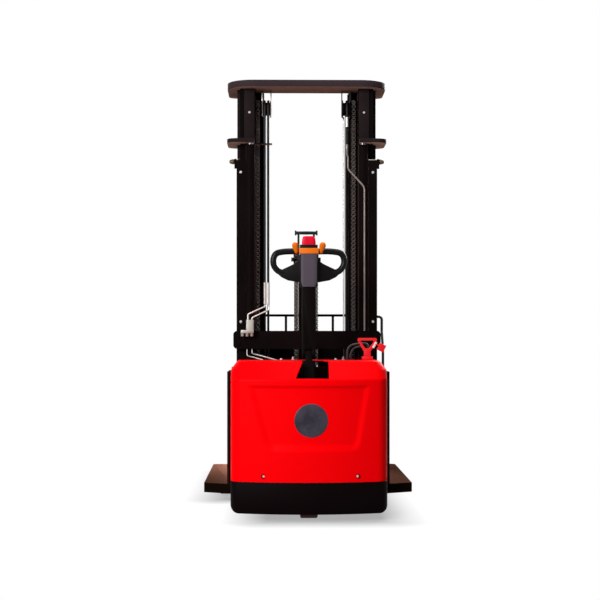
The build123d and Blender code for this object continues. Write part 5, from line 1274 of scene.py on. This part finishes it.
@dataclass
class HoodDress:
    """Small pieces on the hood: the badge disc, the two screws in their cups, the studs and the buttons."""

    shell: HoodShell
    badge_radius: float = 0.071
    badge_x: float = 0.0075
    badge_height: float = 0.424
    badge_proud: float = 0.0022
    badge_sides: int = 72
    badge_profile: tuple[Pair, ...] = ((0.25, 1.0), (0.5, 1.0), (0.75, 1.0), (0.93, 1.0), (0.975, 0.85),
                                       (1.0, 0.35), (1.0, -0.4))
    screw_places: Pair = (0.0055 - 0.198, 0.0055 + 0.198)
    screw_z: float = 0.189
    cup: tuple[Pair, ...] = ((0.0105, 0.003), (0.0102, -0.0012), (0.0078, -0.0012), (0.0062, 0.003))
    screw: tuple[Pair, ...] = ((0.0048, 0.003), (0.0048, -0.0004), (0.0040, -0.0012), (0.0018, -0.0015))
    fixing_y: float = HOOD_REAR + 0.402
    stud: tuple[Pair, ...] = ((0.0075, 0.0), (0.0075, -0.003), (0.0042, -0.003), (0.0042, -0.012),
                              (0.0030, -0.0135))
    stud_places: Pair = (-0.065, 0.161)
    low_button: tuple[Pair, ...] = ((0.0060, 0.0), (0.0060, -0.003), (0.0045, -0.006), (0.0020, -0.0065))
    low_button_places: Pair = (-0.118, 0.127)
    turned_sides: int = 24

    def build(self) -> None:
        """Build every piece of the hood's dress."""
        self.badge()
        self.screws()
        self.fixings()

    def badge(self) -> None:
        """A disc with a rounded edge that follows the hood's bow."""
        rings = []
        for share, proud in self.badge_profile:
            reach = self.badge_radius * share
            ring = []
            for angle in turns(self.badge_sides):
                x = self.badge_x + reach * math.cos(angle)
                face = HOOD_REAR + self.shell.rear_at(x) + self.shell.panel_sink
                ring.append((x, face - proud * self.badge_proud, self.badge_height + reach * math.sin(angle)))
            rings.append(ring)
        MeshKit.piece("badge_disc", MeshKit.lofted("badge_disc", rings), BADGE_SLATE, Body.CHASSIS)

    def screws(self) -> None:
        """The two screws low on the hood, each in a cup painted dark red as the shade of its recess."""
        places = [(x, HOOD_REAR + self.shell.rear_at(x), self.screw_z) for x in self.screw_places]
        for name, profile, looped, finish in (("screw_cups", self.cup, True, CUP_PAINTED_SHADE),
                                              ("hood_screws", self.screw, False, BOLT_STEEL)):
            Repeater().make(name, self._turned(name, profile, looped), places, finish, Body.CHASSIS)

    def fixings(self) -> None:
        """The small bright studs and buttons on the hood's top, near the mast."""
        for name, profile, row in (("hood_studs", self.stud, self.stud_places),
                                   ("hood_buttons", self.low_button, self.low_button_places)):
            mesh = self._turned(name, profile, False)
            mesh.transform(Matrix.Rotation(-math.pi / 2, 4, "X"))
            places = [(x, self.fixing_y, self.shell.top) for x in row]
            Repeater().make(name, mesh, places, BOLT_STEEL, Body.CHASSIS)

    def _turned(self, name: str, profile: Sequence[Pair], looped: bool) -> bpy.types.Mesh:
        """A turned form about the Y axis.

        Args:
            name: The mesh's name.
            profile: Radius and depth of each step.
            looped: Whether the last step joins the first, which leaves a hole in the middle.

        Returns:
            The mesh.
        """
        angles = turns(self.turned_sides)
        rings = [[(r * math.cos(a), y, r * math.sin(a)) for a in angles] for r, y in profile]
        return MeshKit.lofted(f"{name}_item", rings, looped=looped)


@dataclass
class TillerDress:
    """The tiller's moulded head: button, throttle knobs, slate panel and hand grips."""

    button_y: float = HOOD_REAR + 0.134
    button_half: Pair = (0.0297, 0.0158)
    button_low: float = 1.1655
    button_high: float = 1.208
    button_squareness: float = 5.0
    button_shape: tuple[Pair, ...] = ((0.0, 1.0), (0.3, 1.0), (0.45, 0.985), (0.6, 0.96), (0.75, 0.93),
                                      (0.86, 0.89), (0.94, 0.82), (0.98, 0.72), (1.0, 0.55))
    knob_x: float = 0.0445
    knob_y: float = HOOD_REAR + 0.118
    knob_lean: float = 0.020
    knob_low: float = 1.1315
    knob_high: float = 1.1795
    knob_half: Pair = (0.0085, 0.0125)
    knob_swell: Pair = (0.0055, 0.002)
    swell_from: float = 0.1
    swell_over: float = 0.6
    knob_squareness: float = 2.6
    knob_shape: tuple[Pair, ...] = ((0.0, 0.35), (0.03, 0.62), (0.10, 0.86), (0.2, 0.97), (0.35, 1.0),
                                    (0.5, 1.0), (0.65, 1.0), (0.8, 0.95), (0.9, 0.80), (0.97, 0.52),
                                    (1.0, 0.25))
    panel_half: float = 0.034
    panel_low: float = 0.990
    panel_high: float = 1.131
    panel_face: float = HOOD_REAR + 0.098
    panel_thick: float = 0.004
    panel_crown: float = 0.75
    panel_power: int = 6
    panel_foot: float = 0.030
    panel_draw: float = 0.007
    panel_rows: int = 24
    panel_columns: int = 16
    grip_radius: float = 0.0133
    grip_sides: int = 28
    grip_y: float = HOOD_REAR + 0.144
    grip_route: tuple[Pair, ...] = ((0.040, 1.143), (0.075, 1.144), (0.110, 1.142), (0.141, 1.136),
                                    (0.153, 1.112), (0.152, 1.086), (0.140, 1.066), (0.124, 1.054),
                                    (0.104, 1.050))

    def build(self) -> None:
        """Build every piece of the tiller's dress."""
        self.button()
        self.knobs()
        self.panel()
        self.grips()

    def button(self) -> None:
        """The crimson button, drawn in and rounded towards its top."""
        half_x, half_y = self.button_half
        rise = self.button_high - self.button_low
        levels = [Section(0.0, self.button_y, self.button_low + rise * t, half_x * s, half_y * s)
                  for t, s in self.button_shape]
        mesh = MeshKit.moulded("belly_button_cap", levels, self.button_squareness)
        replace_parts(MeshKit.piece("belly_button_cap", mesh, CRIMSON, Body.BUTTON), "belly_button")

    def knobs(self) -> None:
        """The two orange throttle knobs, which lean to the operator and swell towards their tops."""
        rise = self.knob_high - self.knob_low
        knobs = []
        for side, sign in SIDES:
            levels = []
            for t, s in self.knob_shape:
                swell = ease((t - self.swell_from) / self.swell_over)
                half_x, half_y = (half + more * swell for half, more in zip(self.knob_half, self.knob_swell))
                levels.append(Section(sign * (self.knob_x + half_x), self.knob_y - self.knob_lean * t,
                                      self.knob_low + rise * t, half_x * s, half_y * s))
            name = f"{side}_throttle_knob"
            mesh = MeshKit.moulded(name, levels, self.knob_squareness)
            knobs.append(MeshKit.piece(name, mesh, ORANGE, Body.THROTTLE))
        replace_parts(knobs[0], "throttle_wings")

    def panel(self) -> None:
        """The slate panel, crowned a little and drawn in at its foot."""
        rise = self.panel_high - self.panel_low
        back = self.panel_face + self.panel_thick
        shares = [2 * j / self.panel_columns - 1 for j in range(self.panel_columns + 1)]
        proud = [self.panel_thick * (1 - self.panel_crown * abs(at) ** self.panel_power) for at in shares]
        rings = []
        for i in range(self.panel_rows + 1):
            z = self.panel_low + rise * i / self.panel_rows
            fall = max(0.0, 1 - (z - self.panel_low) / self.panel_foot)
            half = self.panel_half - self.panel_draw * fall ** 2
            front = [(half * share, back - depth, z) for share, depth in zip(shares, proud)]
            rings.append(front + [(half * share, back, z) for share in shares[::-1]])
        mesh = MeshKit.lofted("head_panel", rings, MeshKit.MOULDED_DEG)
        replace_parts(MeshKit.piece("head_panel", mesh, PANEL_GREY, Body.TILLER), "tiller_panel")

    def grips(self) -> None:
        """The two bent hand grips, from the band round to the head's wings."""
        made = []
        for side, sign in SIDES:
            name = f"{side}_hand_grip"
            line = MeshKit.through(name, [(sign * x, self.grip_y, z) for x, z in self.grip_route])
            mesh = MeshKit.tube(name, line, self.grip_radius, self.grip_sides)
            made.append(MeshKit.piece(name, mesh, GRIP_GLOSS, Body.TILLER))
        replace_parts(made[0], "tiller_grips")


@dataclass(frozen=True)
class Cable:
    """One cable's arch: where it starts and ends across, how far behind the handle, and its top."""

    start: float
    end: float
    behind: float
    top: float


@dataclass
class ConnectorDress:
    """The battery connector's cables, its handle's white sleeve and the tag."""

    y: float = HOOD_REAR + 0.350
    cables: tuple[Cable, ...] = (Cable(0.274, 0.177, 0.035, 0.743), Cable(0.256, 0.192, 0.050, 0.728))
    cable_radius: float = 0.0055
    cable_leave: float = 0.020
    cable_bend: float = 0.7
    cable_low: float = 0.681
    cable_rise: Pair = (0.001, 0.692)
    cable_arch: tuple[Point, ...] = ((0.0, 0.0, -0.018), (0.0, -0.008, 0.004), (0.5, 0.0, 0.002),
                                     (1.0, 0.012, -0.006), (1.0, 0.0, -0.032))
    cable_ends: Pair = (HOOD_TOP + 0.012, HOOD_TOP - 0.004)
    sleeve_from: Pair = (0.2905, 0.7265)
    sleeve_to: Pair = (0.3055, 0.7525)
    sleeve_half: Pair = (0.0062, 0.0082)
    sleeve_power: float = 0.5
    sleeve_sides: int = 24
    sleeve_shape: tuple[Pair, ...] = ((0.0, 0.85), (0.05, 1.0), (0.5, 1.0), (0.95, 1.0), (1.0, 0.85))
    tag_middle: Pair = (0.328, 0.728)
    tag_half: float = 0.0165
    tag_thick: float = 0.0025
    tag_bevel: float = 0.0011
    tag_turn_deg: float = 25.0
    tag_before: float = 0.009
    tab_route: tuple[Point, ...] = ((0.300, -0.0065, 0.744), (0.306, -0.0095, 0.742), (0.315, -0.0098, 0.737),
                                    (0.320, -0.0085, 0.734))
    tab_radius: float = 0.0022
    tab_sides: int = 12

    def build(self) -> None:
        """Build every piece of the connector's dress."""
        pieces = [self.cable(f"battery_cable_{number}", cable) for number, cable in enumerate(self.cables, 1)]
        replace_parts(pieces[0], "battery_cables")
        self.sleeve()
        self.tag()

    def cable(self, name: str, cable: Cable) -> bpy.types.Object:
        """A cable that arches from behind the connector down through the hood's top.

        Args:
            name: Its name.
            cable: Its arch.

        Returns:
            The piece.
        """
        back = self.y + cable.behind
        route = [(cable.start, self.y + self.cable_leave, self.cable_low),
                 (cable.start, self.y + self.cable_bend * cable.behind, self.cable_low),
                 (cable.start + self.cable_rise[0], back, self.cable_rise[1])]
        across = cable.end - cable.start
        route += [(cable.start + across * share + x, back, cable.top + z) for share, x, z in self.cable_arch]
        route += [(cable.end, back, z) for z in self.cable_ends]
        mesh = MeshKit.tube(name, MeshKit.through(name, route), self.cable_radius)
        return MeshKit.piece(name, mesh, CABLE_SHEATH, Body.CHASSIS)

    def sleeve(self) -> None:
        """The white sleeve on the handle's right arm."""
        low, high = Vector(self.sleeve_from), Vector(self.sleeve_to)
        along = (high - low).normalized()
        across = Vector((along.y, -along.x))
        half_x, half_y = self.sleeve_half
        rings = []
        for t, size in self.sleeve_shape:
            at = low + (high - low) * t
            ring = []
            for angle in turns(self.sleeve_sides):
                x, y = squared(angle, self.sleeve_power)
                place = at + across * (half_x * size * x)
                ring.append((place.x, self.y + half_y * size * y, place.y))
            rings.append(ring)
        MeshKit.piece("handle_sleeve", MeshKit.lofted("handle_sleeve", rings), WHITE_SLEEVE, Body.CONNECTOR)

    def tag(self) -> None:
        """A red tag that hangs on the handle's right arm by a short tab."""
        half = self.tag_half
        mesh = MeshKit.block("handle_tag", (-half, 0.0, -half), (half, self.tag_thick, half), self.tag_bevel)
        place = Matrix.Translation((self.tag_middle[0], self.y - self.tag_before, self.tag_middle[1]))
        mesh.transform(place @ Matrix.Rotation(math.radians(self.tag_turn_deg), 4, "Y"))
        MeshKit.piece("handle_tag", mesh, RED_PLASTIC, Body.CONNECTOR)
        route = [(x, self.y + y, z) for x, y, z in self.tab_route]
        MeshKit.piece("tag_tab", MeshKit.tube("tag_tab", route, self.tab_radius, self.tab_sides), RED_PLASTIC,
                      Body.CONNECTOR)


class FrameDress:
    """Puts a finish on every CAD node."""

    @staticmethod
    def finish_of(frame: dict, node: str) -> Finish:
        """The finish that a CAD node takes.

        Args:
            node: The node's name.

        Returns:
            Its own finish where it has one, else that of its material slot.
        """
        if node in NODE_FINISHES:
            return NODE_FINISHES[node]
        slot = next(part["material_slot"] for part in frame["record"]["subparts"] if part["node"] == node)
        return SLOT_FINISHES[slot]

    def dress(self, frame: dict) -> None:
        """Give each CAD node its finish.
        """
        for name, node in frame["nodes"].items():
            node.data.materials.clear()
            node.data.materials.append(self.finish_of(frame, name).material())


class Softened:
    """Merged copies of CAD nodes whose edges are rounded or whose round faces are shaded smooth."""

    WIDTHS = {"bumper_skirt": 0.004, "left_leg": 0.004, "right_leg": 0.004, "control_band": 0.002,
              "tiller_head": 0.003, "tiller_arm": 0.004, "connector_handle": 0.003,
              "connector_socket": 0.002, "valve_block": 0.0015, "side_hose": 0.0, "middle_head_box": 0.002,
              "middle_cross_members": 0.003, "drive_tyre": 0.0, "lift_barrels": 0.0, "tiller_post": 0.002}
    # Pieces whose downward faces get a painted reflection of a warm floor.
    REFLECTING_UNDERSIDES = {"middle_head_box": UNDERSIDE_REFLECTION, "middle_cross_members": TIE_UNDERSIDE_REFLECTION}
    UNDER_NORMAL = -0.6
    HOOP_FROM = 1.119
    HOOP_SWELL = 0.002
    RAM_HALF = 0.030

    def build(self, frame: dict) -> None:
        """Make the copies; each rides where its node does and stands for it.
        """
        rows = frame["record"]["behaviour"]["bodies"].items()
        bodies = {node: body for body, nodes in rows for node in nodes}
        for node, width in self.WIDTHS.items():
            mesh = MeshKit.softened(frame["nodes"][node], f"{node}_soft", width)
            made = MeshKit.piece(f"{node}_soft", mesh, FrameDress.finish_of(frame, node), Body(bodies[node]))
            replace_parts(made, node)
            if node in self.REFLECTING_UNDERSIDES:
                self.under(mesh, self.REFLECTING_UNDERSIDES[node])
        # The right pipe takes the darker zinc as painted shade.
        self.parted(frame, "steel_pipes", {"left_pipes": ZINC, "right_pipe": SHADED_PIPE}, Body.CHASSIS,
                    lambda at: at.x < 0)
        self.parted(frame, "free_lift_rod", {"free_lift_ram": CHROME, "crosshead_hoop": HOOP_PAINT},
                    Body.CROSSHEAD, lambda at: at.z < self.HOOP_FROM and abs(at.x) < self.RAM_HALF,
                    self.HOOP_SWELL)

    def under(self, mesh: bpy.types.Mesh, finish: Finish) -> None:
        """Give the faces that look down a lighter brown: a painted reflection of a warm floor below them.

        Args:
            mesh: The piece's mesh.
            finish: The painted reflection on those faces.
        """
        mesh.materials.append(finish.material())
        for face in mesh.polygons:
            face.material_index = int(face.normal.z < self.UNDER_NORMAL)

    def parted(self, frame: dict, node: str, parts: dict[str, Finish], body: Body,
               belongs: Callable[[Vector], bool], swell: float = 0.0) -> None:
        """Part a copy of a CAD node into two pieces with their own finishes; the first stands for it.

        Args:
            node: The node's name.
            parts: Names and finishes of the two pieces.
            body: The body that both ride on.
            belongs: Says whether a face with this centre is in the first piece.
            swell: How far the second piece's faces stand out from the node's.
        """
        for index, (name, finish) in enumerate(parts.items()):
            shape = MeshKit.merged(frame["nodes"][node])
            others = [face for face in shape.faces if belongs(face.calc_center_median()) == bool(index)]
            bmesh.ops.delete(shape, geom=others, context="FACES")
            bmesh.ops.holes_fill(shape, edges=[edge for edge in shape.edges if edge.is_boundary])
            shape.normal_update()
            for vert in shape.verts:
                vert.co += vert.normal * swell * index
            made = MeshKit.piece(name, MeshKit.from_bmesh(name, shape), finish, body)
            if index == 0:
                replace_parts(made, node)


@dataclass(frozen=True)
class Lamp:
    """A square soft lamp."""

    name: str
    place: Point
    power: float
    size: float


@dataclass
class Studio:
    """The floor, the soft light and the camera."""

    camera_place: Point = (-0.132, HOOD_REAR - 5.700, 0.784)
    camera_yaw_deg: float = -0.927
    sensor: float = 36.0
    lens: float = 81.6
    horizon_shift: float = 35 / 600
    far: float = 100.0
    left_light: float = 0.34
    right_light: float = 0.0
    light_edge: float = 0.35
    floor_half: float = 30.0
    floor_grey: float = 0.25
    floor_roughness: float = 0.8
    floor_specular: float = 0.1
    # In and near the zones the floor shows its grey, mixed with the lamps' real shading: a painted shadow
    # under the truck and its left leg.
    near_share: float = 0.40
    painted_shadow_reach: float = 0.19
    painted_shadow_zones: tuple[tuple[Point, Point], ...] = (
        ((-0.18, HOOD_REAR, 0.0), (0.31, -HOOD_REAR, 0.0)),
        ((-0.385, HOOD_REAR + 0.78, 0.0), (-0.20, -HOOD_REAR, 0.0)))
    aim: Point = (0.0, -0.7, 0.8)
    lamp_rows: tuple[Lamp, ...] = (Lamp("key", (-3.4, -5.7, 2.8), 405, 2.4),
                                   Lamp("back", (1.9, 3.0, 3.0), 240, 2.4),
                                   Lamp("top", (0.4, -1.4, 4.6), 100, 2.6))

    def build(self) -> None:
        """Build the stage and show colours as they are written."""
        bpy.context.scene.view_settings.view_transform = "Standard"
        self.world()
        self.floor()
        self.lamps()
        self.camera()

    @staticmethod
    def seen(wires: Wires) -> None:
        """Add a node "seen" that is 1 on rays from the camera, reflections and glass, and else 0.

        Args:
            wires: The tree that gets the nodes.
        """
        wires.add("path", "ShaderNodeLightPath")
        wires.add("mirrored", "ShaderNodeMath", operation="MAXIMUM")
        wires.add("seen", "ShaderNodeMath", operation="MAXIMUM")
        wires.join("path.Is Camera Ray > mirrored.0", "path.Is Glossy Ray > mirrored.1",
                   "mirrored.Value > seen.0", "path.Is Transmission Ray > seen.1")

    def world(self) -> None:
        """White where it is seen or mirrored; on surfaces, a light from the left that fades to the right."""
        world = bpy.data.worlds.new("studio")
        bpy.context.scene.world = world
        world.use_nodes = True
        nodes = world.node_tree.nodes
        white = {"Color": (1, 1, 1, 1)}
        wires = Wires(world.node_tree, light=nodes["Background"], out=nodes["World Output"])
        wires.fill("light", white)
        wires.add("place", "ShaderNodeTexCoord")
        wires.add("split", "ShaderNodeSeparateXYZ")
        wires.add("side", "ShaderNodeMapRange", {"From Min": -1.0, "From Max": self.light_edge,
                                                 "To Min": self.left_light, "To Max": self.right_light})
        wires.add("white", "ShaderNodeBackground", white)
        wires.add("mix", "ShaderNodeMixShader")
        self.seen(wires)
        wires.join("place.Generated > split.Vector", "split.X > side.Value", "side.Result > light.Strength",
                   "seen.Value > mix.Fac", "light.Background > mix.1", "white.Background > mix.2",
                   "mix.Shader > out.Surface")

    def floor(self) -> None:
        """A grey floor that looks white, apart from a painted shadow in and near the zones, where its grey
        shows together with the lamps' real shading and shadows.
        """
        size = self.floor_half
        mesh = bpy.data.meshes.new("floor")
        mesh.from_pydata([(-size, -size, 0), (size, -size, 0), (size, size, 0), (-size, size, 0)], [],
                         [(0, 1, 2, 3)])
        made = bpy.data.materials.new("pale_floor")
        made.use_nodes = True
        nodes = made.node_tree.nodes
        wires = Wires(made.node_tree, shader=nodes["Principled BSDF"], out=nodes["Material Output"])
        wires.fill("shader", {"Base Color": (*[self.floor_grey] * 3, 1), "Roughness": self.floor_roughness,
                              "Specular IOR Level": self.floor_specular})
        wires.add("glow", "ShaderNodeEmission")
        wires.add("place", "ShaderNodeTexCoord")
        wires.add("nearest", "ShaderNodeMath", operation="MINIMUM")
        for number, (low, high) in enumerate(self.painted_shadow_zones):
            self._zone(wires, number, low, high)
        wires.add("share", "ShaderNodeMapRange", {"From Min": 0.0, "From Max": self.painted_shadow_reach,
                                                  "To Min": self.near_share, "To Max": 1.0})
        wires.add("scale", "ShaderNodeMath", operation="MULTIPLY")
        wires.add("mix", "ShaderNodeMixShader")
        self.seen(wires)
        wires.join("nearest.Value > share.Value", "share.Result > scale.0", "seen.Value > scale.1",
                   "scale.Value > mix.Fac", "shader.BSDF > mix.1", "glow.Emission > mix.2",
                   "mix.Shader > out.Surface")
        mesh.materials.append(made)
        placed("floor", mesh)

    def _zone(self, wires: Wires, number: int, low: Point, high: Point) -> None:
        """Add nodes that say how far a place of the floor lies outside a painted-shadow zone, and link them
        to "nearest".

        Args:
            wires: The floor's tree.
            number: The zone's number.
            low: Its low corner.
            high: Its high corner.
        """
        inside, held, away, reach = (f"{word}_{number}" for word in ("inside", "held", "away", "reach"))
        wires.add(inside, "ShaderNodeVectorMath", {1: low}, operation="MAXIMUM")
        wires.add(held, "ShaderNodeVectorMath", {1: high}, operation="MINIMUM")
        wires.add(away, "ShaderNodeVectorMath", operation="SUBTRACT")
        wires.add(reach, "ShaderNodeVectorMath", operation="LENGTH")
        wires.join(f"place.Object > {inside}.0", f"{inside}.Vector > {held}.0", f"place.Object > {away}.0",
                   f"{held}.Vector > {away}.1", f"{away}.Vector > {reach}.0",
                   f"{reach}.Value > nearest.{number}")

    def lamps(self) -> None:
        """A soft key to the left of the camera, a soft back light at the right and a soft top light."""
        for row in self.lamp_rows:
            lamp = bpy.data.lights.new(row.name, "AREA")
            lamp.energy = row.power
            lamp.size = row.size
            made = placed(row.name, lamp)
            made.location = row.place
            ahead = Vector(self.aim) - Vector(row.place)
            made.rotation_euler = ahead.to_track_quat("-Z", "Y").to_euler()

    def camera(self) -> None:
        """The camera behind the operator's end of the truck, a little left of its middle."""
        data = bpy.data.cameras.new("camera")
        data.sensor_fit = "HORIZONTAL"
        data.sensor_width = self.sensor
        data.lens = self.lens
        data.shift_y = self.horizon_shift
        data.clip_end = self.far
        made = placed("camera", data)
        made.location = self.camera_place
        made.rotation_euler = (math.pi / 2, 0, math.radians(self.camera_yaw_deg))
        bpy.context.scene.camera = made


def main() -> None:
    """Build the whole look, piece by piece, and note the sizes."""
    logging.basicConfig(level=logging.INFO, format="%(name)s: %(message)s")
    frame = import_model()
    FrameDress().dress(frame)
    Softened().build(frame)
    MastDress().build()
    shell = HoodShell()
    shell.build()
    HoodDress(shell).build()
    TillerDress().build()
    ConnectorDress().build()
    Studio().build()


if __name__ == "__main__":
    main()
